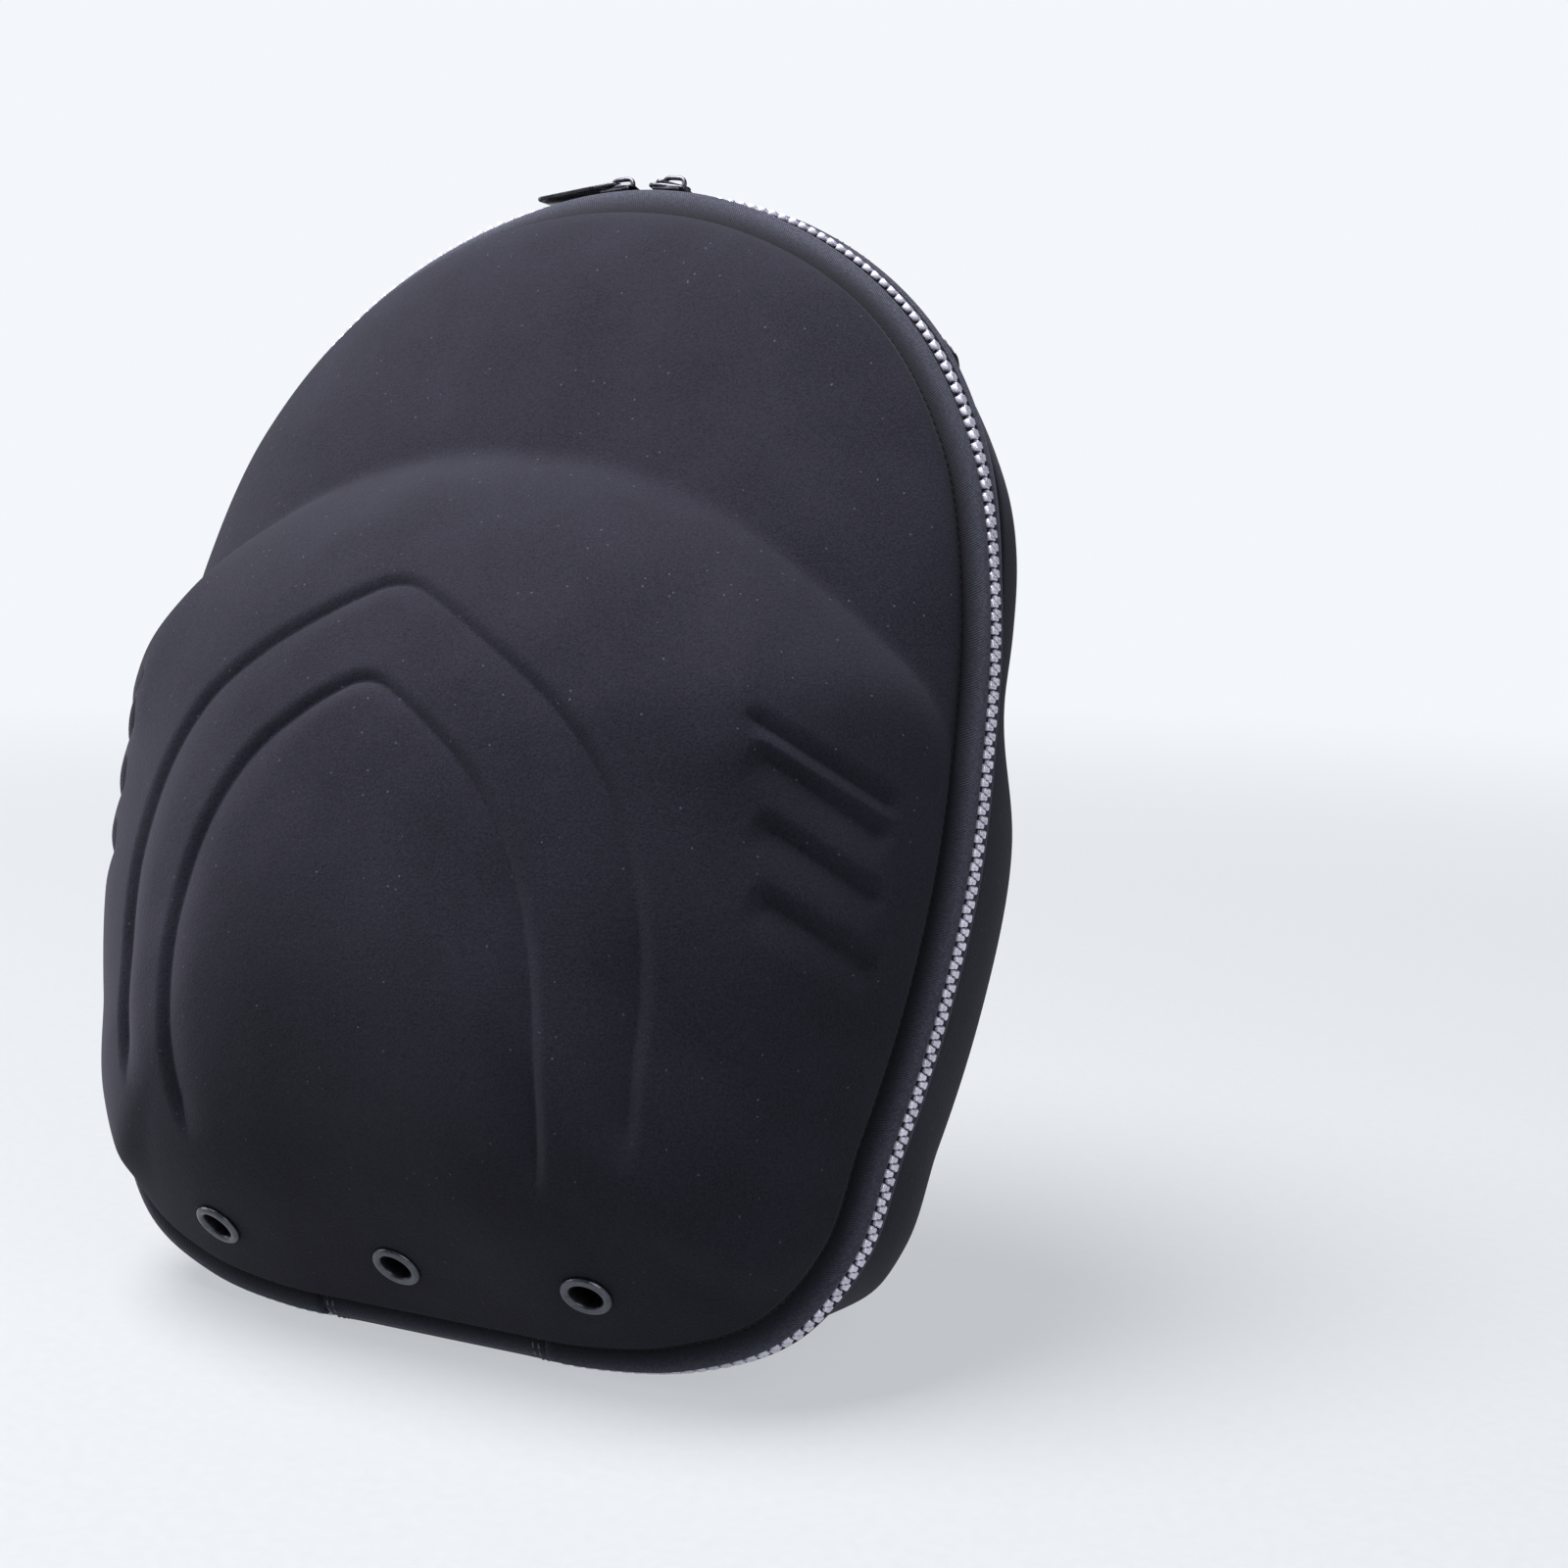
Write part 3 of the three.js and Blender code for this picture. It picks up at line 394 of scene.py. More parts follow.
def angle_and_share(side, x, z):
    """Outline angle and share of the shell point that lies over a place in the zipper plane."""
    x, z = np.broadcast_arrays(np.asarray(x, float), np.asarray(z, float))
    direction = np.degrees(np.arctan2(z - CENTRE_HEIGHT, np.abs(x)))
    angle = direction.copy()
    for _ in range(12):
        edge = edge_point(side, angle)
        now = np.degrees(np.arctan2(edge[..., 1] - CENTRE_HEIGHT, edge[..., 0]))
        angle = np.clip(angle + direction - now, -90, 90)
    edge = edge_point(side, angle)
    share = reach_of(np.stack([x, z], -1)) / reach_of(edge)
    return np.where(x < 0, 180 - angle, angle), share


LEAN, OFFSET_Y, OFFSET_Z = lean_and_offset()
OFFSET_Z -= edge_point(-1, np.array(-90.0))[1]


def to_world(points):
    """Upright case in millimetres to the leaned case in metres."""
    p = np.asarray(points, float)
    y = p[..., 1] + OFFSET_Y
    z = p[..., 2] + OFFSET_Z
    c, s = math.cos(LEAN), math.sin(LEAN)
    return np.stack([p[..., 0], c * y + s * z, c * z - s * y], -1) / 1000


def add_object(name, data):
    obj = bpy.data.objects.new(name, data)
    bpy.context.scene.collection.objects.link(obj)
    return obj


def add_smooth_mesh(name, points, faces, run=None):
    """Smooth mesh object from points of the upright case, with its faces turned outwards."""
    mesh = bpy.data.meshes.new(name)
    mesh.from_pydata(to_world(points).tolist(), [], [list(map(int, f)) for f in faces])
    if run is not None:
        layer = mesh.attributes.new("run", "FLOAT_VECTOR", "POINT")
        layer.data.foreach_set("vector", np.asarray(run, np.float32).ravel())
    bm = bmesh.new()
    bm.from_mesh(mesh)
    bmesh.ops.recalc_face_normals(bm, faces=bm.faces)
    bm.to_mesh(mesh)
    bm.free()
    mesh.polygons.foreach_set("use_smooth", [True] * len(mesh.polygons))
    return add_object(name, mesh)


def add_piece(name, points, faces, material, body="case", nodes=(), run=None):
    """Visible piece that rides on a body; run holds each point's place in the cloth's weave, or on
    a shell the strength of the painted shade at the crease.
    """
    obj = add_smooth_mesh(name, points, faces, run)
    obj.data.materials.append(material)
    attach(obj, body)
    if nodes:
        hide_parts(*nodes)
    return obj


def apply_modifiers(obj):
    graph = bpy.context.evaluated_depsgraph_get()
    baked = bpy.data.meshes.new_from_object(obj.evaluated_get(graph))
    obj.modifiers.clear()
    obj.data = baked


def loft_faces(count, size, closed=False, start=0):
    """Quads between equal loops; closed joins the last loop to the first."""
    faces = []
    for i in range(count if closed else count - 1):
        here = start + i * size
        there = start + ((i + 1) % count) * size
        for j in range(size):
            k = (j + 1) % size
            faces.append((here + j, here + k, there + k, there + j))
    return faces


def capped_loft(loops):
    """Points and faces of a closed body along equal loops."""
    loops = np.asarray(loops, float)
    count, size = loops.shape[:2]
    faces = loft_faces(count, size)
    faces.append(tuple(range(size)))
    faces.append(tuple((count - 1) * size + j for j in range(size)))
    return loops.reshape(-1, 3), faces


def ring_fan(first, size, pole):
    """Triangles from a ring of points to one pole."""
    return [(first + i, first + (i + 1) % size, pole) for i in range(size)]


def join_bodies(bodies):
    points, faces = [], []
    count = 0
    for body_points, body_faces in bodies:
        points.append(np.asarray(body_points, float))
        faces += [tuple(count + i for i in f) for f in body_faces]
        count += len(body_points)
    return np.vstack(points), faces


def copies(template, places):
    """A template set at each place: its origin, and where its three axes point."""
    points, faces = template
    return join_bodies([
        (at + points[:, :1] * along + points[:, 1:2] * across + points[:, 2:] * up, faces)
        for at, along, across, up in places
    ])


def weave_places(run, width):
    """Place in the weave of each point of a loft: along it and across it."""
    return np.stack([
        np.repeat(run, len(width)), np.tile(width, len(run)), np.zeros(len(run) * len(width)),
    ], 1)


# Front and back shells

DISC_RINGS = [(1.0, 480), (0.62, 240), (0.3, 120), (0.14, 60)]
RING_SPACING = 1.6
RIM_STEPS = [0, 0.25, 0.5, 0.8, 1.15, 1.6, 2.2, 3.0]
PATH_STEP = 0.3
LINE_DEPTH = 1.9
ARCH_SLOPE = 13
ARCH_FOOT = 3.2
VENT_DEPTH = 2.5
VENT_SLOPE = 10
TOP_VENT_SLOPE = 4.5
VENT_FOOT = 4.4
RIPPLE_HEIGHT = 0.12
INNER_SHARES = [0.985, 0.95, 0.9, 0.83, 0.74, 0.62, 0.5, 0.38, 0.26, 0.12]


def arc_table(side, fold_count=181, share_count=600):
    """Distance over the shell from its middle, by folded angle and share."""
    angles = np.linspace(-90, 90, fold_count)
    shares = 1 - (1 - np.linspace(0, 1, share_count)) ** 2.5
    points = shell_point(side, angles[:, None], shares[None, :])
    steps = np.linalg.norm(np.diff(points, axis=1), axis=-1)
    length = np.concatenate([np.zeros((fold_count, 1)), np.cumsum(steps, 1)], 1)
    return angles, shares, length


def share_lookup(side, levels=400):
    """Function from angle and arc share to outline share."""
    angles, shares, length = arc_table(side)
    grid = np.linspace(0, 1, levels)
    table = np.array([np.interp(grid * row[-1], row, shares) for row in length])

    def look_up(angle, arc):
        row = (folded(angle) + 90) / (angles[1] - angles[0])
        return grid_sample(table, row, np.clip(arc, 0, 1) * (levels - 1.001))

    return look_up, length[:, -1].mean()


def disc_mesh(radius):
    """Flat disc of rings that thin out inwards; its place is arc share times direction."""
    arcs = [1 - step / radius for step in RIM_STEPS]
    while arcs[-1] > 0.03:
        arcs.append(arcs[-1] - RING_SPACING / radius)
    arcs = [a for a in arcs if a > 0.015]
    points, rings = [], []
    for arc in arcs:
        size = [n for limit, n in DISC_RINGS if arc <= limit][-1]
        turn = np.radians(-90 + 360 * np.arange(size) / size)
        rings.append((len(points), size))
        points.extend(np.stack([arc * np.cos(turn), arc * np.sin(turn)], 1).tolist())
    faces = []
    for (outer, n), (inner, m) in zip(rings, rings[1:]):
        if n == m:
            faces += loft_faces(2, n, start=outer)
            continue
        for i in range(m):
            k = (i + 1) % m
            a, b, c = outer + 2 * i, outer + 2 * i + 1, outer + (2 * i + 2) % n
            faces += [(a, b, inner + i), (b, inner + k, inner + i), (b, c, inner + k)]
    pole = len(points)
    points.append([0.0, 0.0])
    last, n = rings[-1]
    faces += ring_fan(last, n, pole)
    return np.array(points), faces


def disc_places(disc, look_up):
    """Outline angle, outline share and arc share of each point of the flat disc."""
    arc = np.hypot(disc[:, 0], disc[:, 1])
    angle = np.degrees(np.arctan2(disc[:, 1], disc[:, 0]))
    angle = np.where(angle < -90, angle + 360, angle)
    return angle, look_up(angle, arc), arc


class PressedLine:
    """A pressed line on the front: a gentle slope down to a sharp foot, like a shingle edge."""

    def __init__(self, places, depth, gentle, sharp, fade, flip=1.0, narrow=1.0):
        self.depth, self.sharp = depth, sharp
        angle, share = angle_and_share(-1, places[:, 0], places[:, 1])
        self.points = shell_point(-1, angle, share)
        normals = shell_normal(-1, angle, share)
        tangent = np.gradient(self.points, axis=0)
        self.across = unit(np.cross(tangent, normals) * flip)
        run = run_along(self.points)
        self.strength = smoothstep(run, 0, fade) * smoothstep(run[-1] - run, 0, fade)
        from_apex = np.abs(run - run[-1] / 2)
        self.gentle = gentle * (narrow + (1 - narrow) * smoothstep(from_apex, 4, 45))
        self.tree = KDTree(len(self.points))
        for i, p in enumerate(self.points):
            self.tree.insert(p, i)
        self.tree.balance()

    def drop(self, points):
        """Depth pressed in at each point, and its distance from the line."""
        near = np.array([self.tree.find(p)[1:] for p in points])
        index, distance = near[:, 0].astype(int), near[:, 1]
        offset = points - self.points[index]
        side = np.sign((offset * self.across[index]).sum(1))
        gentle = np.clip(1 - distance / self.gentle[index], 0, 1) ** 2
        steep = np.clip(1 - distance / self.sharp, 0, 1) ** 1.5
        sideways = (side * distance)[:, None] * self.across[index]
        beyond = np.linalg.norm(offset - sideways, axis=1)
        inside = 1 - smoothstep(beyond, 1.0, 6.0)
        profile = np.where(side > 0, gentle, steep)
        return self.depth * profile * self.strength[index] * inside, distance


def dense_path(places, spacing=PATH_STEP):
    """Smooth path through places, by Catmull-Rom, at close even steps."""
    p = np.asarray(places, float)
    ends = np.vstack([2 * p[0] - p[1], p, 2 * p[-1] - p[-2]])
    out = []
    for a, b, c, d in zip(ends, ends[1:], ends[2:], ends[3:]):
        u = np.linspace(0, 1, 40, endpoint=False)[:, None]
        out.append(0.5 * (2 * b + (c - a) * u + (2 * a - 5 * b + 4 * c - d) * u * u
                          + (3 * b - a - 3 * c + d) * u ** 3))
    path = np.vstack(out + [p[-1:]])
    run = run_along(path)
    even = np.linspace(0, run[-1], max(int(run[-1] / spacing), 8))
    return np.stack([np.interp(even, run, path[:, i]) for i in range(path.shape[1])], 1)


def arch_places(half, apex_radius):
    """Whole arch from its right half, with the peak rounded off."""
    right = dense_path(np.array(half) * CASE_HEIGHT)
    left = (right * [-1, 1])[:0:-1]
    whole = np.vstack([left, right])
    run = run_along(whole)
    middle = run[len(left)]
    near = np.abs(run - middle) < apex_radius
    width = max(int(apex_radius / 2 / PATH_STEP), 1)
    kernel = np.ones(2 * width + 1) / (2 * width + 1)
    padded = np.vstack([np.repeat(whole[:1], width, 0), whole, np.repeat(whole[-1:], width, 0)])
    rounded = np.stack([np.convolve(padded[:, i], kernel, "valid") for i in (0, 1)], 1)
    blend = (near * smoothstep(apex_radius - np.abs(run - middle), 0, apex_radius / 2))[:, None]
    return whole * (1 - blend) + rounded * blend


def pressed_lines():
    lines = [
        PressedLine(arch_places(arch, apex), LINE_DEPTH, ARCH_SLOPE, ARCH_FOOT, 14, narrow=narrow)
        for arch, apex, narrow in ((OUTER_ARCH, 16, 0.5), (INNER_ARCH, 14, 0.35))
    ]
    for k, (inner, outer) in enumerate(SIDE_VENTS):
        for mirror in (1, -1):
            ends = np.array([inner, outer]) * CASE_HEIGHT * [mirror, 1]
            places = dense_path(np.linspace(ends[0], ends[1], 6))
            depth, slope = (LINE_DEPTH, TOP_VENT_SLOPE) if k == 0 else (VENT_DEPTH, VENT_SLOPE)
            lines.append(PressedLine(places, depth, slope, VENT_FOOT, 6, flip=mirror))
    return lines


def crease_drop(edge_distance):
    return CREASE_DEPTH * np.exp(-(np.abs(edge_distance) / CREASE_SPREAD) ** 1.5)


def refine(disc, faces, look_up, lines):
    """Split the disc's faces near the pressed lines, twice as fine again at the line itself."""
    bm = bmesh.new()
    verts = [bm.verts.new((x, y, 0)) for x, y in disc]
    for face in faces:
        bm.faces.new([verts[i] for i in face])
    for band in (1.0, 0.4):
        bm.verts.ensure_lookup_table()
        flat = np.array([v.co[:2] for v in bm.verts])
        angle, share, _ = disc_places(flat, look_up)
        points = shell_point(-1, angle, share)
        near = np.zeros(len(points), bool)
        for line in lines:
            near |= line.drop(points)[1] < (line.sharp + 1.5) * band
        bm.verts.index_update()
        edges = {
            e for f in bm.faces if any(near[v.index] for v in f.verts) for e in f.edges
            if not e.is_boundary
        }
        bmesh.ops.subdivide_edges(bm, edges=list(edges), cuts=1, use_grid_fill=True)
    bm.verts.ensure_lookup_table()
    bm.verts.index_update()
    flat = np.array([v.co[:2] for v in bm.verts])
    done = [tuple(v.index for v in f.verts) for f in bm.faces]
    bm.free()
    return flat, done


def shell_piece(side, wall, lines):
    """Points and faces of a shell: its skin, its rim and its smooth inner side; and how strongly
    the painted shade at the crease's foot darkens each point."""
    look_up, radius = share_lookup(side)
    disc, faces = disc_mesh(radius)
    rim = DISC_RINGS[0][1]
    if lines:
        disc, faces = refine(disc, faces, look_up, lines)
    angle, share, arc = disc_places(disc, look_up)
    share[:rim] = 1.0
    points = shell_point(side, angle, share)
    normals = shell_normal(side, angle, share)
    drop = np.zeros(len(points))
    for line in lines:
        drop = np.maximum(drop, line.drop(points)[0])
    drop += crease_drop((1 - arc) * radius)
    ripple = RIPPLE_HEIGHT * np.sin(points[:, 0] / 17 + 1.3) * np.sin(points[:, 2] / 23 + 0.4)
    outer = points + normals * (ripple * smoothstep((1 - arc) * radius, 2, 14) - drop)[:, None]
    inner_angle = -90 + 360 * np.arange(rim) / rim
    skins = []
    for inner_share in [1.0] + INNER_SHARES:
        at = shell_point(side, inner_angle, inner_share)
        under = at - wall * shell_normal(side, inner_angle, np.full(rim, inner_share))
        under[:, 1] = side * np.maximum(side * under[:, 1], RIDGE_HALF_WIDTH)
        skins.append(under)
    pole = shell_point(side, 0.0, 0.0) - [0, side * wall, 0]
    base = len(outer)
    every = list(faces)
    every += [(i, (i + 1) % rim, base + (i + 1) % rim, base + i) for i in range(rim)]
    every += loft_faces(len(skins), rim, start=base)
    last = base + (len(skins) - 1) * rim
    every += ring_fan(last, rim, last + rim)
    whole = np.vstack([outer, *skins, pole[None]])
    # Painted shade: strength of the darkening put into the shell's colour near its edge, where the
    # crease shades it.
    foot = np.zeros((len(whole), 3))
    foot[:len(outer), 0] = 1 - smoothstep((1 - arc) * radius, 0.4, FOOT_SHADE_WIDTH)
    return whole, every, foot


def eyelet_frames():
    """Place and turn of each eyelet, as 4 x 4 matrices of the upright case."""
    reference = edge_point(-1, np.array(-90.0))
    flat = CENTRE_HEIGHT + EYELET_SHARE * (reference[1] - CENTRE_HEIGHT)
    frames = []
    for x in (-EYELET_SIDE_OFFSET, 0.0, EYELET_SIDE_OFFSET):
        z = flat + EYELET_SIDE_RISE * abs(x) / EYELET_SIDE_OFFSET
        angle, share = angle_and_share(-1, x, z)
        turn = Vector((0, 0, 1)).rotation_difference(Vector(shell_normal(-1, angle, share)))
        frames.append(Matrix.Translation(shell_point(-1, angle, share)) @ turn.to_matrix().to_4x4())
    return frames


def place(points, matrix):
    m = np.array(matrix)
    return np.asarray(points, float) @ m[:3, :3].T + m[:3, 3]


def revolved(profile, steps, matrix):
    turn = 2 * np.pi * np.arange(steps) / steps
    r, h = np.array(profile, float).T
    loops = np.stack([
        np.outer(np.cos(turn), r), np.outer(np.sin(turn), r), np.tile(h, (steps, 1)),
    ], -1)
    return place(loops.reshape(-1, 3), matrix), loft_faces(steps, len(profile), closed=True)


def make_shells(fabric, frames):
    for name, side, wall, lines in (
        ("front", -1, FRONT_WALL, pressed_lines()), ("back", 1, BACK_WALL, []),
    ):
        points, faces, foot = shell_piece(side, wall, lines)
        shell = add_piece(f"{name}_shell_foam", points, faces, fabric,
                          nodes=[f"{name}_shell"], run=foot)
        if name == "front":
            drill_eyelets(shell, frames)


def drill_eyelets(shell, frames):
    """Cut the eyelets' holes through the shell."""
    radius = EYELET_BARREL_RADIUS + CLEARANCE
    rod = [(0.01, -9), (radius, -9), (radius, 9), (0.01, 9)]
    drills = []
    for k, matrix in enumerate(frames):
        drills.append(add_smooth_mesh(f"drill_{k}", *revolved(rod, 48, matrix)))
        cut = shell.modifiers.new(f"hole_{k}", "BOOLEAN")
        cut.operation = "DIFFERENCE"
        cut.solver = "MANIFOLD"
        cut.object = drills[-1]
    apply_modifiers(shell)
    for drill in drills:
        bpy.data.objects.remove(drill)


# Zipper ridge

def band_point(angle, rise, y):
    """Points of the ridge: angle along it, rise above the crest and y across it."""
    fade = 1 - smoothstep(np.abs(y), 3, RIDGE_HALF_WIDTH)
    rise = np.asarray(rise) + ridge_tilt(folded(angle)) * (y + RIDGE_TILT_PIVOT) * fade
    spot = crest_point(folded(angle)) + crest_normal(folded(angle)) * rise[..., None]
    x = mirror_sign(angle) * spot[..., 0]
    return np.stack([x, np.broadcast_to(y, x.shape), spot[..., 1]], -1)


def crest_and_normal(angle):
    """Crest point of the ridge, and the way straight out from it."""
    angle = np.asarray(angle, float)
    crest = band_point(angle, np.zeros_like(angle), 0.0)
    return crest, band_point(angle, np.ones_like(angle), 0.0) - crest


def angle_across(x, vertical):
    """Angle at which the crest passes over x, on the upper (1) or lower (-1) side."""
    angles = np.linspace(0, 90, 9001)
    across = crest_point(vertical * angles)[:, 0]
    return vertical * angles[np.argmin(np.abs(across - x))]


def crest_run(from_angle, to_angle, spacing):
    """Angles at an even spacing along the crest, and the length run at each."""
    fine = np.linspace(from_angle, to_angle, 8000)
    points = band_point(fine, np.zeros(len(fine)), 0.0)
    run = run_along(points)
    count = max(int(round(run[-1] / spacing)), 2)
    even = np.linspace(0, run[-1], count + 1)
    return np.interp(even, run, fine), even


def tape_profile(inset, near, far, steps=18):
    """Outer line of the ridge cover from the teeth to the shell edge, dipping at both edges."""
    u = np.linspace(0, 1, steps)
    y = near + (far - near) * u
    share = np.clip((y - TAPE_FLAT) / (TAPE_FOOT - TAPE_FLAT), 0, 1)
    bulge = TAPE_BULGE * inset[:, None] * share * (1 - share)
    fall = TAPE_TOP_DROP + (inset[:, None] - TAPE_TOP_DROP) * share
    rise = bulge - fall
    rise -= crease_drop(y - RIDGE_HALF_WIDTH)
    if near > 0:
        rise -= TAPE_LIP_DEPTH * np.exp(-((y - near) / TAPE_LIP_WIDTH) ** 2)
    return rise, y


def make_tape(name, side, ends, fabric, node):
    angles, run = crest_run(*ends, 2.0)
    inset = inset_at(side, folded(angles))
    rise, y = tape_profile(inset, CHAIN_HALF_WIDTH + 0.15, RIDGE_HALF_WIDTH)
    outer = band_point(angles[:, None], rise, side * y)
    inner = band_point(angles[:, None], rise - TAPE_THICKNESS, side * y)[:, ::-1]
    loops = np.concatenate([outer, inner], 1)
    points, faces = capped_loft(loops)
    places = weave_places(run, np.concatenate([y, y[::-1]]))
    add_piece(name, points, faces, fabric, nodes=[node], run=places)


def make_seams_with_crease_shade(fabric):
    """Sewn seam at the foot of the crease, round both shell edges, drawn in at each stitch; its
    near-black tube also stands in for the crease's painted shade.
    """
    for name, side in (("front", -1), ("back", 1)):
        angles, run = crest_run(-90, 270, SEAM_STITCH / 6)
        angles, run = angles[:-1], run[:-1]
        low = inset_at(side, folded(angles)) + SEAM_DROP
        radius = SEAM_RADIUS * (1 - SEAM_NECK * np.cos(2 * np.pi * run / SEAM_STITCH))
        loops = []
        for turn in np.radians(np.arange(0, 360, 60)):
            rise = radius * math.sin(turn) - low
            y = side * RIDGE_HALF_WIDTH + radius * math.cos(turn)
            loops.append(band_point(angles, rise, y))
        points = np.stack(loops, 1)
        faces = loft_faces(len(points), 6, closed=True)
        # The dark tube is the seam and also painted shade in the crease.
        add_piece(f"seam_and_shade_{name}", points.reshape(-1, 3), faces, fabric)


def tooth_template():
    """One tooth: along the zipper, across it from its tape, and up; rounded with a dimple."""
    middle = np.array([0, -1.1])
    rings = []
    for along, across, height in (
        (1.0, 1.0, -TOOTH_HEIGHT), (1.0, 1.0, -0.55), (0.93, 0.9685, -0.2), (0.74, 0.883, 0.0),
        (0.36, 0.5, -0.05), (0.2, 0.3, -0.22),
    ):
        ring = middle + (TOOTH_OUTLINE - middle) * [along, across]
        rings.append(np.column_stack([ring, np.full(len(ring), height)]))
    return capped_loft(rings)


def make_teeth(side_name, ends, plastic, fabric):
    angles, _ = crest_run(*ends, TOOTH_PITCH / 2)
    at, normal = crest_and_normal(angles)
    along = unit(np.gradient(at, axis=0))
    points, faces = copies(tooth_template(), [
        (at[k], along[k], np.array([0, -1 if k % 2 else 1, 0]), normal[k])
        for k in range(1, len(angles) - 1)
    ])
    add_piece(f"zipper_teeth_{side_name}", points, faces, plastic,
              nodes=[f"zipper_chain_{side_name}"])
    angles, _ = crest_run(*ends, 2.0)
    loops = np.stack([band_point(angles, np.full(len(angles), r), y) for r, y in CORD_SECTION], 1)
    core, core_faces = capped_loft(loops)
    add_piece(f"zipper_cord_{side_name}", core, core_faces, fabric)


def make_hinge(ends, fabric, thread):
    angles, run = crest_run(*ends, 0.8)
    inset = inset_at(-1, folded(angles))
    rise, y = tape_profile(inset, 0.0, RIDGE_HALF_WIDTH, 22)
    hump = HINGE_HUMP * np.exp(-(y / HINGE_HUMP_WIDTH) ** 2)
    rise = rise + TAPE_TOP_DROP + hump - HINGE_HUMP
    from_end = np.minimum(run, run[-1] - run)
    rise = rise - HINGE_END_FALL * np.exp(-(from_end / HINGE_END_WIDTH) ** 2)[:, None]
    front = band_point(angles[:, None], rise[:, ::-1], -y[::-1])
    outer = np.concatenate([front, band_point(angles[:, None], rise, y)[:, 1:]], 1)
    normal = crest_and_normal(angles)[1]
    inner = (outer - HINGE_THICKNESS * normal[:, None])[:, ::-1]
    loops = np.concatenate([outer, inner], 1)
    points, faces = capped_loft(loops)
    width = np.concatenate([-y[::-1], y[1:]])
    places = weave_places(run, np.concatenate([width, width[::-1]]))
    add_piece("hinge_cover_cloth", points, faces, fabric,
              nodes=["hinge_cover"], run=places)
    spots = []
    for row in HINGE_STITCH_ROWS:
        for distance in (row, run[-1] - row):
            k = np.argmin(np.abs(run - distance))
            line = outer[k]
            length = run_along(line)
            for s in np.arange(STITCH_MARGIN, length[-1] - STITCH_MARGIN, HINGE_STITCH_PITCH):
                at, ahead = (
                    np.array([np.interp(place, length, line[:, i]) for i in range(3)])
                    for place in (s, s + 0.2)
                )
                spots.append((at, ahead - at, normal[k]))
    make_stitches("hinge_stitches", spots, thread, HINGE_STITCH_WIDTH)


def stitch_template(width):
    """Short lens-shaped stitch along x, standing on z = 0."""
    loops = []
    for u in np.linspace(-1, 1, 7):
        radius = width / 2 * math.sqrt(max(1 - u * u, 0.04))
        turn = np.radians(np.arange(0, 360, 60))
        loops.append(np.stack([
            np.full(6, u * STITCH_LENGTH / 2), radius * np.cos(turn),
            radius * np.sin(turn) + 0.25 * width * (1 - u * u) - 0.1 * width,
        ], 1))
    return capped_loft(loops)


def make_stitches(name, spots, thread, width):
    """Stitches at spots, each of which holds a place, the way ahead and the way out."""
    places = []
    for at, ahead, out in spots:
        along = unit(ahead)
        across = unit(np.cross(out, along))
        places.append((at, along, across, np.cross(along, across)))
    points, faces = copies(stitch_template(width), places)
    add_piece(name, points, faces, thread)


# Metal pieces

def make_eyelets(frames, metal):
    mid = (EYELET_HOLE_RADIUS + EYELET_FLANGE_RADIUS) / 2
    half = (EYELET_FLANGE_RADIUS - EYELET_HOLE_RADIUS) / 2
    dome = [
        (mid + half * math.cos(turn), EYELET_SEAT + EYELET_DOME * math.sin(turn) ** 0.8)
        for turn in np.radians(np.linspace(0, 180, 13))
    ]
    under = -FRONT_WALL - EYELET_BACK_GAP
    low = under - 1.0
    profile = dome + [
        (EYELET_HOLE_RADIUS, low + EYELET_BACK_EDGE), (EYELET_HOLE_RADIUS + EYELET_BACK_EDGE, low),
        (EYELET_FLANGE_RADIUS - EYELET_BACK_EDGE, low), (EYELET_FLANGE_RADIUS, under - 0.5),
        (EYELET_FLANGE_RADIUS - EYELET_BACK_EDGE, under), (EYELET_BARREL_RADIUS, under),
        (EYELET_BARREL_RADIUS, EYELET_SEAT),
    ]
    for name, matrix in zip(("left", "centre", "right"), frames):
        points, faces = revolved(profile, 72, matrix)
        add_piece(f"eyelet_ring_{name}", points, faces, metal,
                  nodes=[f"eyelet_{name}"])


def slider_frame(x):
    """Crest frame near the top: along the zipper, across it and outward."""
    origin, normal = crest_and_normal(
        angle_across(x, 1) if x > 0 else 180 - angle_across(-x, 1)
    )
    across = np.array([0.0, 1.0, 0.0])
    along = np.cross(across, normal)
    m = np.eye(4)
    m[:3, 0], m[:3, 1], m[:3, 2], m[:3, 3] = along, across, normal, origin
    return Matrix(m.tolist())


def rounded_plate(outline, low, high, bevel):
    """Closed plate over an outline, with rounded edges above and below."""
    outline = np.array(outline, float)
    centre = outline.mean(0)
    reach = np.abs(outline - centre).max()
    loops = []
    for level, sign, turns in ((low, 1, (0, 30, 60, 90)), (high, -1, (90, 60, 30, 0))):
        for turn in np.radians(turns):
            ring = centre + (outline - centre) * (1 - bevel * (1 - math.sin(turn)) / reach)
            height = level + sign * bevel * (1 - math.cos(turn))
            loops.append(np.column_stack([ring, np.full(len(ring), height)]))
    return capped_loft(loops)


def rounded_outline(corners, radius, steps=6):
    """Polygon with its corners rounded by quadratic curves."""
    corners = np.array(corners, float)
    out = []
    for before, corner, after in zip(np.roll(corners, 1, 0), corners, np.roll(corners, -1, 0)):
        a, b = (corner + unit(end - corner) * radius for end in (before, after))
        for u in np.linspace(0, 1, steps):
            out.append((1 - u) ** 2 * a + 2 * u * (1 - u) * corner + u * u * b)
    return out


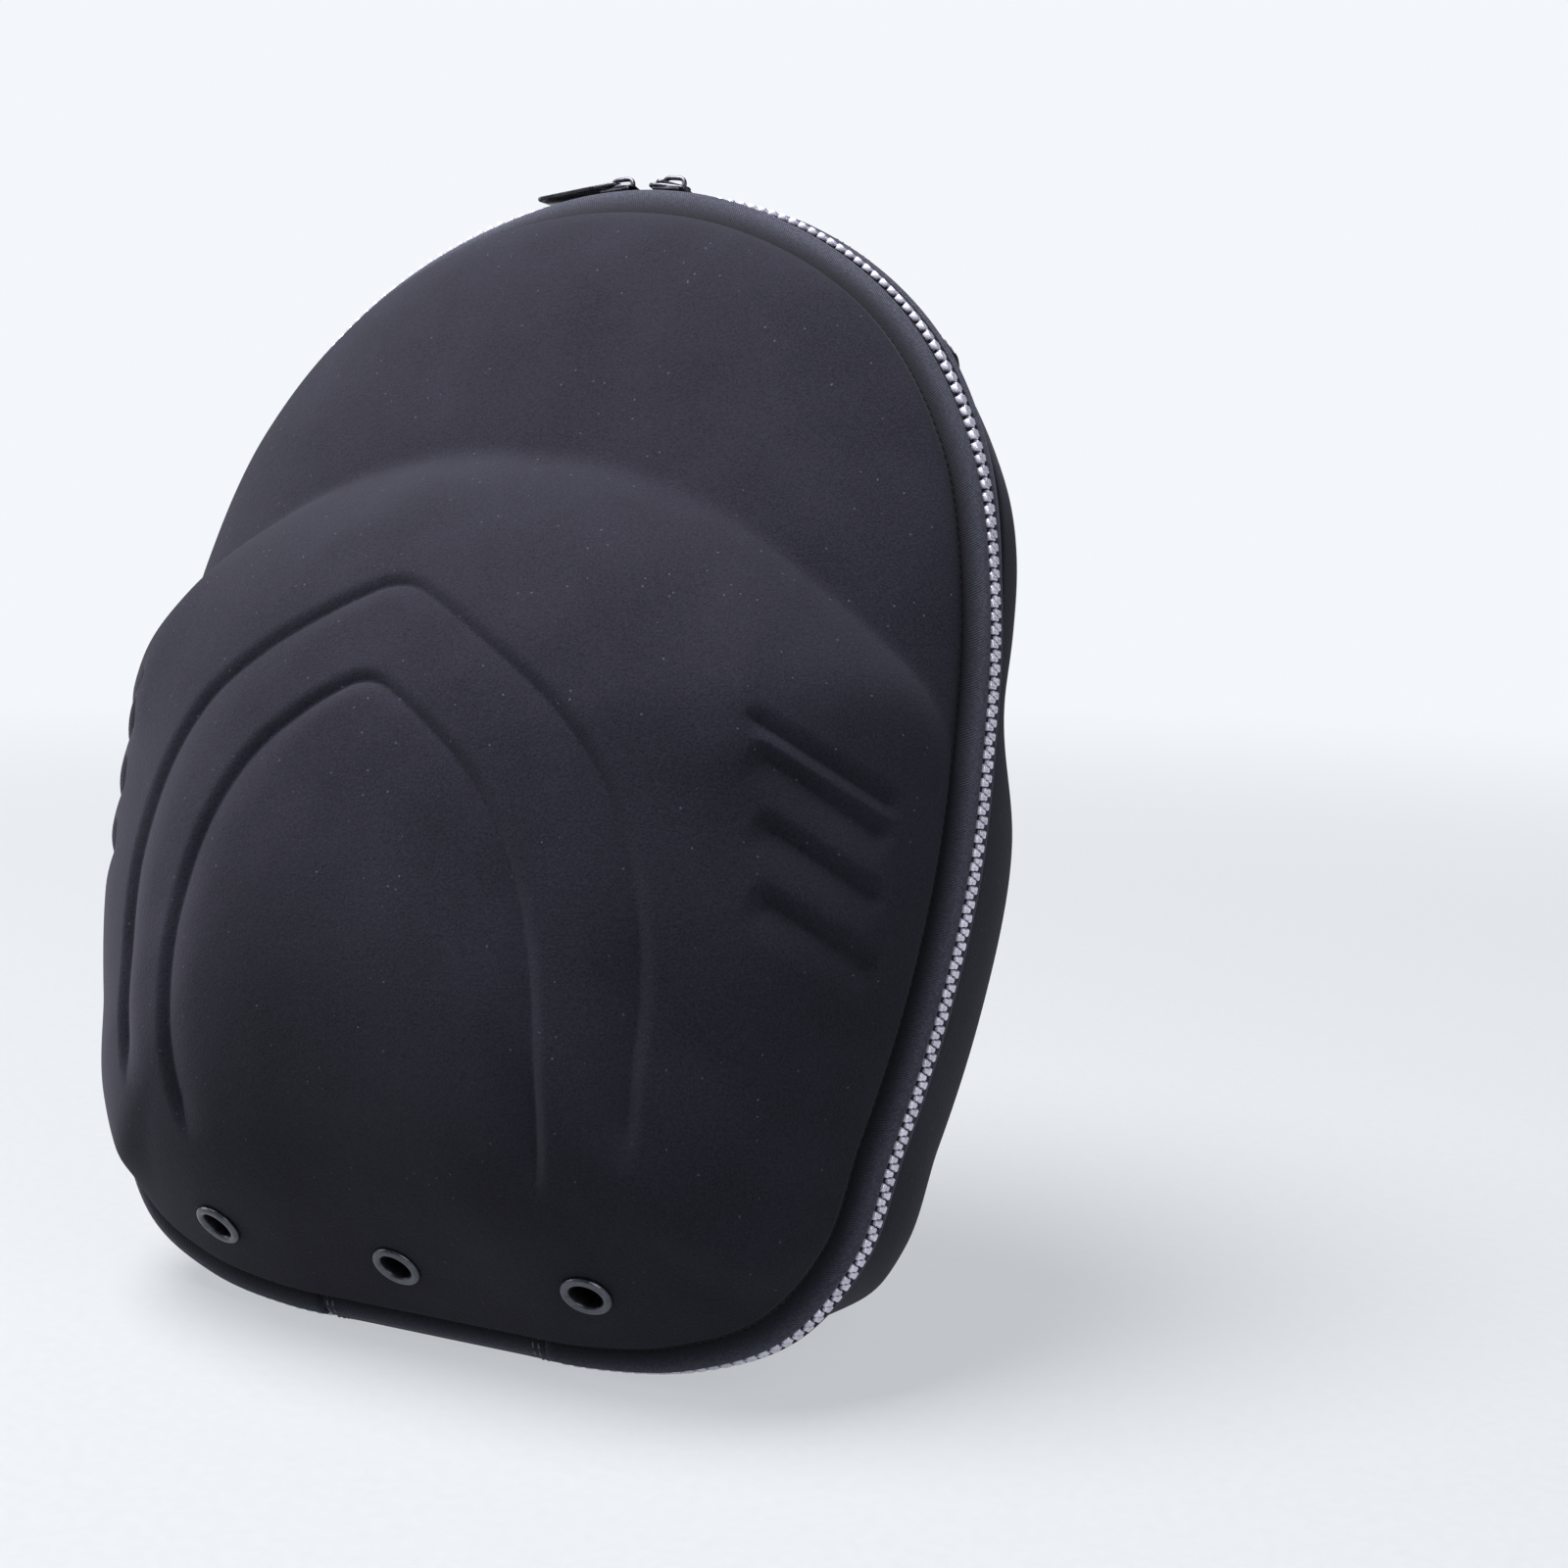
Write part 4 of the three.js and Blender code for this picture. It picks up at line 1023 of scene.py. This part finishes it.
def swept_bar(path, width, height, up):
    """Bar of oval section along a path; up is the section's height direction."""
    path = np.asarray(path, float)
    tangent = unit(np.gradient(path, axis=0))
    turn = np.radians(np.arange(0, 360, 30))
    ring_w = width / 2 * np.sign(np.cos(turn)) * np.abs(np.cos(turn)) ** 0.7
    ring_h = height / 2 * np.sign(np.sin(turn)) * np.abs(np.sin(turn)) ** 0.7
    loops = []
    for p, t in zip(path, tangent):
        side = unit(np.cross(t, up))
        lift = np.cross(side, t)
        loops.append(p + ring_w[:, None] * side + ring_h[:, None] * lift)
    return capped_loft(loops)


def make_slider(name, matrix, inward, metal):
    """Two plates joined by a post, side flanges and a bail; inward points at the other slider."""
    half, wide = SLIDER_LENGTH / 2, SLIDER_WIDTH / 2
    outline = rounded_outline(
        [(inward * half * along, wide * across) for along, across in SLIDER_CORNERS],
        SLIDER_ROUNDING,
    )
    lower_outline = np.array(outline) * [1, (SLIDER_WIDTH - 1) / SLIDER_WIDTH]
    top = SLIDER_SEAT + SLIDER_PLATE
    bodies = [
        rounded_plate(outline, SLIDER_SEAT, top, 0.35),
        rounded_plate(lower_outline, SLIDER_LOWER_TOP - SLIDER_PLATE, SLIDER_LOWER_TOP, 0.3),
    ]
    post_x = inward * (half - POST_SETBACK)
    post = rounded_outline([
        (post_x + POST_HALF_LENGTH * along, POST_HALF_WIDTH * across)
        for along, across in ((-1, -1), (1, -1), (1, 1), (-1, 1))
    ], 0.4)
    bodies.append(rounded_plate(post, SLIDER_LOWER_TOP - 0.4, SLIDER_SEAT + 0.4, 0.1))
    for sign in (-1, 1):
        near, far = sign * wide * 0.78, sign * wide * 0.9
        flange = rounded_outline([
            (-half * 0.8, near - 0.35), (half * 0.8, far - 0.35),
            (half * 0.8, far + 0.3), (-half * 0.8, near + 0.3),
        ], 0.25)
        low, high = SLIDER_SEAT - FLANGE_DROP, SLIDER_SEAT + FLANGE_LIFT
        bodies.append(rounded_plate(flange, low, high, 0.15))
    reach = BAIL_LENGTH / 2 - 0.45
    foot = top - 0.3
    rise = BAIL_TOP - 0.5 - foot
    arch = []
    for turn in np.radians(np.linspace(0, 180, 25)):
        c, s = math.cos(turn), math.sin(turn)
        arch.append((reach * np.sign(c) * abs(c) ** 0.55, 0.0, foot + rise * s ** 0.5))
    bodies.append(swept_bar(arch, BAIL_WIDTH, BAIL_THICKNESS, np.array([0.0, 1.0, 0.0])))
    points, faces = join_bodies(bodies)
    add_piece(f"slider_body_{name}", place(points, matrix), faces, metal,
              nodes=[f"slider_{name}"])


def make_pull(name, matrix, heading, roll, metal):
    """Wire eye round the bail, with a flat tab that widens to its end."""
    half = PULL_EYE_HALF_WIDTH + PULL_WIRE / 2
    side = [
        (PULL_EYE_LENGTH + 0.6, half), (PULL_EYE_LENGTH * 0.5, half), (0.9, half),
        (0.25, half - 0.25), (0, half - 0.9),
    ]
    loop = [(x, -y, 0) for x, y in side] + [(0, 0, 0)] + [(x, y, 0) for x, y in side[::-1]]
    ring = swept_bar(dense_path(loop, 0.5), PULL_WIRE, PULL_WIRE, np.array([0.0, 0.0, 1.0]))
    wide, end = PULL_EYE_HALF_WIDTH + PULL_WIRE, PULL_END_WIDTH / 2
    tab = rounded_outline([
        (PULL_EYE_LENGTH, -wide), (PULL_LENGTH, -end), (PULL_LENGTH, end), (PULL_EYE_LENGTH, wide),
    ], PULL_ROUNDING)
    plate = rounded_plate(tab, -PULL_WIRE / 2, PULL_WIRE / 2, PULL_BEVEL)
    points, faces = join_bodies([ring, plate])
    pose = matrix @ Matrix.Translation((0, 0, PIVOT_HEIGHT))
    for angle, axis in ((heading, "Z"), (PULL_DROOP, "Y"), (roll, "X")):
        pose = pose @ Matrix.Rotation(math.radians(angle), 4, axis)
    add_piece(f"pull_tab_{name}", place(points, pose), faces, metal,
              body=f"{name}_pull", nodes=[f"pull_{name}"])


# Handle

def share_at_depth(angle, depth):
    near, far = np.ones_like(depth), np.full_like(depth, 0.5)
    edge = edge_point(1, angle)
    for _ in range(40):
        middle = (near + far) / 2
        shallow = back_depth(angle, middle, edge) < depth
        near = np.where(shallow, middle, near)
        far = np.where(shallow, far, middle)
    return near


def handle_loops(turns, shares):
    """Lower face points and outward directions of the strap, along turns and across shares."""
    lower, faces_out = [], []
    for turn in turns:
        angle = np.full(len(shares), 90 - turn)
        free = max(1 - (abs(turn) / HANDLE_FREE_ANGLE) ** 4, 0)
        lift = HANDLE_SEAT_GAP + HANDLE_LIFT * free ** 0.8
        depth = HANDLE_LOW + (HANDLE_HIGH - HANDLE_LOW) * shares
        seat_share = share_at_depth(folded(angle), depth)
        at = shell_point(1, angle, seat_share)
        normal = shell_normal(1, angle, seat_share)
        middle = len(shares) // 2
        flat = HANDLE_FLATTEN * free
        face = unit(normal * (1 - flat) + normal[middle] * flat)
        chord = at[0] + (at[-1] - at[0]) * shares[:, None]
        base = at * (1 - flat) + (chord + at[middle] - (at[0] + at[-1]) / 2) * flat
        lower.append(base + face * lift)
        faces_out.append(face)
    return np.array(lower), np.array(faces_out)


def make_handle(webbing, thread):
    reach = HANDLE_FREE_ANGLE + HANDLE_SEWN_ANGLE
    turns = np.linspace(reach, -reach, 221)
    shares = np.linspace(0, 1, 17)
    lower, out = handle_loops(turns, shares)
    run = run_along(lower[:, len(shares) // 2])
    edge = 1 - np.abs(2 * shares - 1) ** 8 * 0.55
    rib = HANDLE_RIB_HEIGHT * np.cos(2 * np.pi * run / HANDLE_RIB_PITCH)
    middle = lower + out * HANDLE_THICKNESS / 2
    half = (HANDLE_THICKNESS / 2 - HANDLE_RIB_HEIGHT) * edge[None, :, None]
    side = unit(lower[:, -1] - lower[:, 0])
    tooth = np.sign(np.sin(2 * np.pi * run / HANDLE_SELVEDGE_PITCH))[:, None]
    skins = []
    for sign in (1, -1):
        skin = middle + sign * out * (half + rib[:, None, None])
        skin[:, 0] -= side * HANDLE_SELVEDGE_DEPTH * tooth
        skin[:, -1] += side * HANDLE_SELVEDGE_DEPTH * tooth
        skins.append(skin)
    top, under = skins
    loops = np.concatenate([top, under[:, ::-1]], 1)
    points, faces = capped_loft(loops)
    width = HANDLE_HIGH - HANDLE_LOW
    places = weave_places(run, np.concatenate([shares, shares[::-1]]) * width)
    add_piece("handle_strap", points, faces, webbing,
              nodes=["carry_handle"], run=places)
    make_handle_stitches(top, out, run, turns, width, thread)


def make_handle_stitches(top, out, run, turns, width, thread):
    """A crossed box of stitches on each sewn end of the strap."""
    low, high = STITCH_MARGIN, width - STITCH_MARGIN
    sewn = np.interp(HANDLE_FREE_ANGLE + 1, turns[::-1], run[::-1]) - 1.0
    corners = [(low, low), (low, high), (sewn, high), (sewn, low)]
    rows, columns = np.arange(len(run)), top.shape[1] - 1
    spots = []
    for start, end in ((0, 1), (1, 2), (2, 3), (3, 0), (0, 2), (1, 3)):
        (r0, w0), (r1, w1) = corners[start], corners[end]
        count = int(math.hypot(r1 - r0, w1 - w0) / HANDLE_STITCH_PITCH)
        for u in (np.arange(count) + 0.5) / count:
            for flip in (0, 1):
                grid_places = []
                for v in (u, u + 0.02):
                    r = r0 + (r1 - r0) * v
                    row = np.interp(run[-1] - r if flip else r, run, rows)
                    grid_places.append((row, (w0 + (w1 - w0) * v) / width * columns))
                at, ahead = (grid_sample(top, *place) for place in grid_places)
                k, j = (int(round(value)) for value in grid_places[0])
                spots.append((at, ahead - at, out[k, j]))
    make_stitches("handle_stitches", spots, thread, HANDLE_STITCH_WIDTH)


# Materials

class Surface:
    """A material's node tree, with short calls to add and join nodes."""

    def __init__(self, name, **settings):
        self.material = bpy.data.materials.new(name)
        self.material.use_nodes = True
        self.tree = self.material.node_tree
        self.shader = self.tree.nodes["Principled BSDF"]
        self.shade(**settings)

    def shade(self, **values):
        """Feed sockets of the main shader, by name with _ for a space."""
        for key, value in values.items():
            self.feed(self.shader.inputs[key.replace("_", " ")], value)

    def feed(self, socket, value):
        if isinstance(value, bpy.types.NodeSocket):
            self.tree.links.new(value, socket)
        else:
            socket.default_value = (*value, 1) if socket.type == "RGBA" else value

    def add(self, kind, sockets=None, **settings):
        node = self.tree.nodes.new("ShaderNode" + kind)
        for key, value in settings.items():
            setattr(node, key, value)
        for key, value in (sockets or {}).items():
            self.feed(node.inputs[key], value)
        return node

    def math(self, operation, *values):
        return self.add("Math", dict(enumerate(values)), operation=operation).outputs[0]

    def weigh(self, first, first_share, second, second_share=1.0):
        """Sum of two values times their shares."""
        if second_share != 1.0:
            second = self.math("MULTIPLY", second, second_share)
        return self.math("ADD", self.math("MULTIPLY", first, first_share), second)

    def ramp(self, factor, dark, light, low=0.3, high=0.7):
        """Colour from dark to light as the factor goes from low to high."""
        node = self.add("ValToRGB", {"Fac": factor})
        stops = ((low, dark), (high, light))
        for element, (position, colour) in zip(node.color_ramp.elements, stops):
            element.position = position
            element.color = (*colour, 1)
        return node.outputs["Color"]

    def mix(self, factor, first, second):
        return self.add("MixRGB", {0: factor, 1: first, 2: second}).outputs[0]

    def ease(self, value, low, high):
        """0 below low, 1 above high and a smooth rise between them."""
        sockets = {"Value": value, "From Min": low, "From Max": high}
        return self.add("MapRange", sockets, interpolation_type="SMOOTHSTEP").outputs[0]

    def noise(self, vector, scale, detail=2.0):
        sockets = {"Vector": vector, "Scale": scale, "Detail": detail, "Roughness": 0.55}
        return self.add("TexNoise", sockets).outputs["Fac"]

    def wave(self, value, pitch):
        return self.math("SINE", self.math("MULTIPLY", value, 2 * math.pi / pitch))

    def object_place(self):
        return self.add("TexCoord").outputs["Object"]

    def weave_place(self):
        """Outputs along and across the weave, as add_piece's run holds them; on a shell the first
        is the painted crease shade.
        """
        run = self.add("Attribute", attribute_name="run").outputs["Vector"]
        return self.add("SeparateXYZ", {0: run}).outputs

    def bump(self, height, strength, distance):
        sockets = {"Height": height, "Strength": strength, "Distance": distance}
        return self.add("Bump", sockets).outputs["Normal"]


def grey(value):
    return (value, value, value)


def shell_fabric():
    """Matt knit with a few specks of lint, with painted shade at the foot of the crease."""
    s = Surface("shell_knit", Roughness=0.92, Sheen_Weight=0.06, Sheen_Roughness=0.45,
                Specular_IOR_Level=0.08, Sheen_Tint=(0.75, 0.74, 0.9))
    at = s.object_place()
    knit = s.noise(at, 1900.0)
    tone = s.weigh(knit, 0.65, s.noise(at, 26.0, 3.0), 0.35)
    cloth = s.ramp(tone, (0.0045, 0.0044, 0.0071), (0.0150, 0.0146, 0.0222))
    cells = s.add("TexVoronoi", {"Vector": at, "Scale": 320.0}, feature="F1")
    near = s.math("LESS_THAN", cells.outputs["Distance"], 0.08)
    chance = s.add("SeparateColor", {0: cells.outputs["Color"]}).outputs[0]
    lint = s.math("MULTIPLY", near, s.math("GREATER_THAN", chance, 0.6))
    flecked = s.mix(lint, cloth, (0.042, 0.042, 0.056))
    # Painted shade: the run attribute darkens the knit to near black towards the crease.
    foot = s.math("MULTIPLY", s.weave_place()[0], 0.85)
    height = s.math("ADD", knit, s.math("MULTIPLY", s.noise(at, 700.0), 0.6))
    s.shade(Base_Color=s.mix(foot, flecked, (0.0015, 0.0015, 0.0025)),
            Normal=s.bump(height, 0.35, 0.0004))
    return s.material


def tape_fabric():
    """Twill, with painted shade where the tape goes down to the crease."""
    s = Surface("tape_twill", Roughness=0.85, Sheen_Weight=0.1, Sheen_Roughness=0.4,
                Specular_IOR_Level=0.12, Sheen_Tint=(0.8, 0.82, 1.0))
    along, across = s.weave_place()[:2]
    twill = s.wave(s.math("ADD", along, across), 0.62)
    grain = s.noise(s.object_place(), 1500.0)
    tone = s.weigh(twill, 0.16, grain)
    colour = s.ramp(tone, (0.016, 0.0175, 0.025), (0.041, 0.043, 0.060), high=0.75)
    # Painted shade: the twill darkens towards its foot, where the crease shades the tape and hinge
    # cover.
    down = s.ease(s.math("ABSOLUTE", across), TAPE_SHADE_FROM, TAPE_FOOT)
    s.shade(Base_Color=s.mix(down, colour, (0.003, 0.003, 0.005)),
            Normal=s.bump(s.weigh(twill, 0.5, grain), 0.4, 0.00025))
    return s.material


def grained(name, scale, dark, light, bump, **settings):
    """Plain material whose colour and height follow one fine noise."""
    s = Surface(name, **settings)
    grain = s.noise(s.object_place(), scale)
    s.shade(Base_Color=s.ramp(grain, dark, light), Normal=s.bump(grain, *bump))
    return s.material


def teeth_plastic():
    s = Surface("teeth_resin", Metallic=0.25, Specular_IOR_Level=0.6, Coat_Weight=0.4,
                Coat_Roughness=0.15)
    at = s.object_place()
    smudge = s.noise(at, 220.0, 3.0)
    s.shade(Base_Color=s.ramp(smudge, (0.36, 0.35, 0.43), (0.60, 0.59, 0.69)),
            Roughness=s.ramp(smudge, grey(0.2), grey(0.36)),
            Normal=s.bump(s.noise(at, 1500.0), 0.12, 0.0001))
    return s.material


def gunmetal(name, dark, light, rough):
    s = Surface(name, Metallic=0.95, Specular_IOR_Level=0.5)
    at = s.object_place()
    wear = s.noise(at, 900.0)
    tone = s.weigh(s.noise(at, 160.0, 4.0), 0.6, wear, 0.4)
    s.shade(Base_Color=s.ramp(tone, dark, light),
            Roughness=s.ramp(tone, grey(rough), grey(rough + 0.16)),
            Normal=s.bump(wear, 0.08, 0.0001))
    return s.material


def handle_webbing():
    s = Surface("webbing_weave", Roughness=0.9, Sheen_Weight=0.04, Specular_IOR_Level=0.15)
    along, across = s.weave_place()[:2]
    weave = s.math("MULTIPLY", s.wave(along, HANDLE_RIB_PITCH), s.wave(across, 1.1))
    grain = s.noise(s.object_place(), 2200.0)
    tone = s.weigh(weave, 0.2, grain)
    colour = s.ramp(tone, (0.003, 0.003, 0.004), (0.012, 0.012, 0.015), 0.25, 0.75)
    s.shade(Base_Color=colour, Normal=s.bump(s.weigh(weave, 0.6, grain, 0.5), 0.6, 0.0004))
    return s.material


# Studio

PALE = (0.90, 0.93, 0.965)
NEAR_FLOOR = (0.82, 0.85, 0.89)
FLOOR_GLOW = 0.6
CAMERA_PLACE = (0.34929, -0.54167, 0.22238)
CAMERA_FORWARD = (-0.45624, 0.87875, -0.13865)
CAMERA_ROLL = 0.73
CAMERA_LENS = 59.4
WORLD_SHARE = 0.16
FLOOR_RADIUS = 12.0
FLOOR_SIDES = 96
LIGHT_AIM = (0, 0, 0.14)
LIGHTS = [
    ("key", (-0.45, -0.45, 1.8), 1.2, 112, (0.99, 0.98, 1)),
    ("side", (-1.5, -0.5, 0.8), 1.0, 13, (0.98, 0.98, 1)),
    ("fill", (1.5, -0.7, 1.1), 1.2, 20, (0.94, 0.96, 1)),
]


def make_camera():
    forward = Vector(CAMERA_FORWARD).normalized()
    level = forward.cross(Vector((0, 0, 1))).normalized()
    over = level.cross(forward)
    roll = math.radians(CAMERA_ROLL)
    right = level * math.cos(roll) + over * math.sin(roll)
    up = over * math.cos(roll) - level * math.sin(roll)
    data = bpy.data.cameras.new("camera")
    data.sensor_width = 36
    data.lens = CAMERA_LENS
    camera = add_object("camera", data)
    turn = Matrix((right, up, -forward)).transposed().to_4x4()
    camera.matrix_world = Matrix.Translation(CAMERA_PLACE) @ turn
    bpy.context.scene.camera = camera


def add_area_light(name, at, size, power, colour):
    data = bpy.data.lights.new(name, "AREA")
    data.shape = "DISK"
    data.size = size
    data.energy = power
    data.color = colour
    light = add_object(name, data)
    light.location = at
    light.rotation_euler = (Vector(LIGHT_AIM) - Vector(at)).to_track_quat("-Z", "Y").to_euler()


def make_world():
    """Pale backdrop that the camera sees in full and the case only in part."""
    world = bpy.data.worlds.new("studio")
    bpy.context.scene.world = world
    world.use_nodes = True
    nodes, links = world.node_tree.nodes, world.node_tree.links
    background = nodes["Background"]
    path = nodes.new("ShaderNodeLightPath")
    strength = nodes.new("ShaderNodeMapRange")
    strength.inputs["To Min"].default_value = WORLD_SHARE
    strength.inputs["To Max"].default_value = 1.0
    links.new(path.outputs["Is Camera Ray"], strength.inputs["Value"])
    links.new(strength.outputs[0], background.inputs["Strength"])
    background.inputs["Color"].default_value = (*PALE, 1)


def make_floor():
    """Paper disc that glows a little, and wholly so far out, where it fades into the backdrop."""
    mesh = bpy.data.meshes.new("floor")
    turn = 2 * np.pi * np.arange(FLOOR_SIDES) / FLOOR_SIDES
    rim = [(FLOOR_RADIUS * math.cos(a), FLOOR_RADIUS * math.sin(a), 0) for a in turn]
    mesh.from_pydata(rim, [], [tuple(range(FLOOR_SIDES))])
    floor = add_object("floor", mesh)
    s = Surface("floor_paper", Roughness=0.9, Specular_IOR_Level=0.1)
    at = s.object_place()
    s.shade(Base_Color=s.ramp(s.noise(at, 300.0, 3.0), (0.27, 0.28, 0.29), (0.30, 0.31, 0.32)))
    distance = s.add("VectorMath", {0: at}, operation="LENGTH").outputs["Value"]
    fade = s.ease(distance, 0.35, 1.5)
    glow = s.add("Emission", {"Color": s.mix(fade, NEAR_FLOOR, PALE), "Strength": 1.0})
    share = s.weigh(fade, 1 - FLOOR_GLOW, FLOOR_GLOW)
    blend = s.add("MixShader", {0: share, 1: s.shader.outputs[0], 2: glow.outputs[0]})
    s.tree.links.new(blend.outputs[0], s.tree.nodes["Material Output"].inputs["Surface"])
    mesh.materials.append(s.material)


def make_studio():
    bpy.context.scene.view_settings.view_transform = "Standard"
    make_world()
    make_floor()
    for light in LIGHTS:
        add_area_light(*light)


def build():
    fabric = shell_fabric()
    tape = tape_fabric()
    cord = grained("zipper_cord", 1400.0, (0.0025, 0.0025, 0.004), (0.007, 0.007, 0.0105),
                   (0.5, 0.0003), Roughness=0.9, Specular_IOR_Level=0.2)
    thread = grained("sewing_thread", 3000.0, (0.012, 0.012, 0.017), (0.045, 0.045, 0.058),
                     (0.4, 0.0002), Roughness=0.65, Sheen_Weight=0.3)
    resin = teeth_plastic()
    slider_metal = gunmetal("slider_gunmetal", (0.022, 0.023, 0.028), (0.075, 0.076, 0.09), 0.22)
    eyelet_metal = gunmetal("eyelet_gunmetal", (0.05, 0.052, 0.062), (0.12, 0.122, 0.14), 0.28)
    webbing = handle_webbing()
    frames = eyelet_frames()
    make_shells(fabric, frames)
    tape_angle = 90 + angle_across(HINGE_LENGTH / 2 + CLEARANCE, -1)
    hinge_angle = 90 + angle_across(HINGE_LENGTH / 2, -1)
    ends = (-90 + tape_angle, 270 - tape_angle)
    make_tape("tape_cloth_front", -1, ends, tape, "zipper_tape_front")
    make_tape("tape_cloth_back", 1, ends, tape, "zipper_tape_back")
    chain_top = angle_across(SLIDER_OFFSET - SLIDER_LENGTH / 2 + 1.7, 1)
    make_teeth("right", (ends[0], chain_top), resin, cord)
    make_teeth("left", (ends[1], 180 - chain_top), resin, cord)
    make_hinge((-90 - hinge_angle, -90 + hinge_angle), tape, thread)
    make_seams_with_crease_shade(cord)
    make_eyelets(frames, eyelet_metal)
    for name, x, inward, heading, roll in (
        ("left", -SLIDER_OFFSET, 1, 180.0, PULL_LEFT_ROLL),
        ("right", SLIDER_OFFSET, -1, PULL_RIGHT_HEADING, 0.0),
    ):
        matrix = slider_frame(x)
        make_slider(name, matrix, inward, slider_metal)
        make_pull(name, matrix, heading, roll, slider_metal)
    make_handle(webbing, thread)


build()
make_studio()
make_camera()
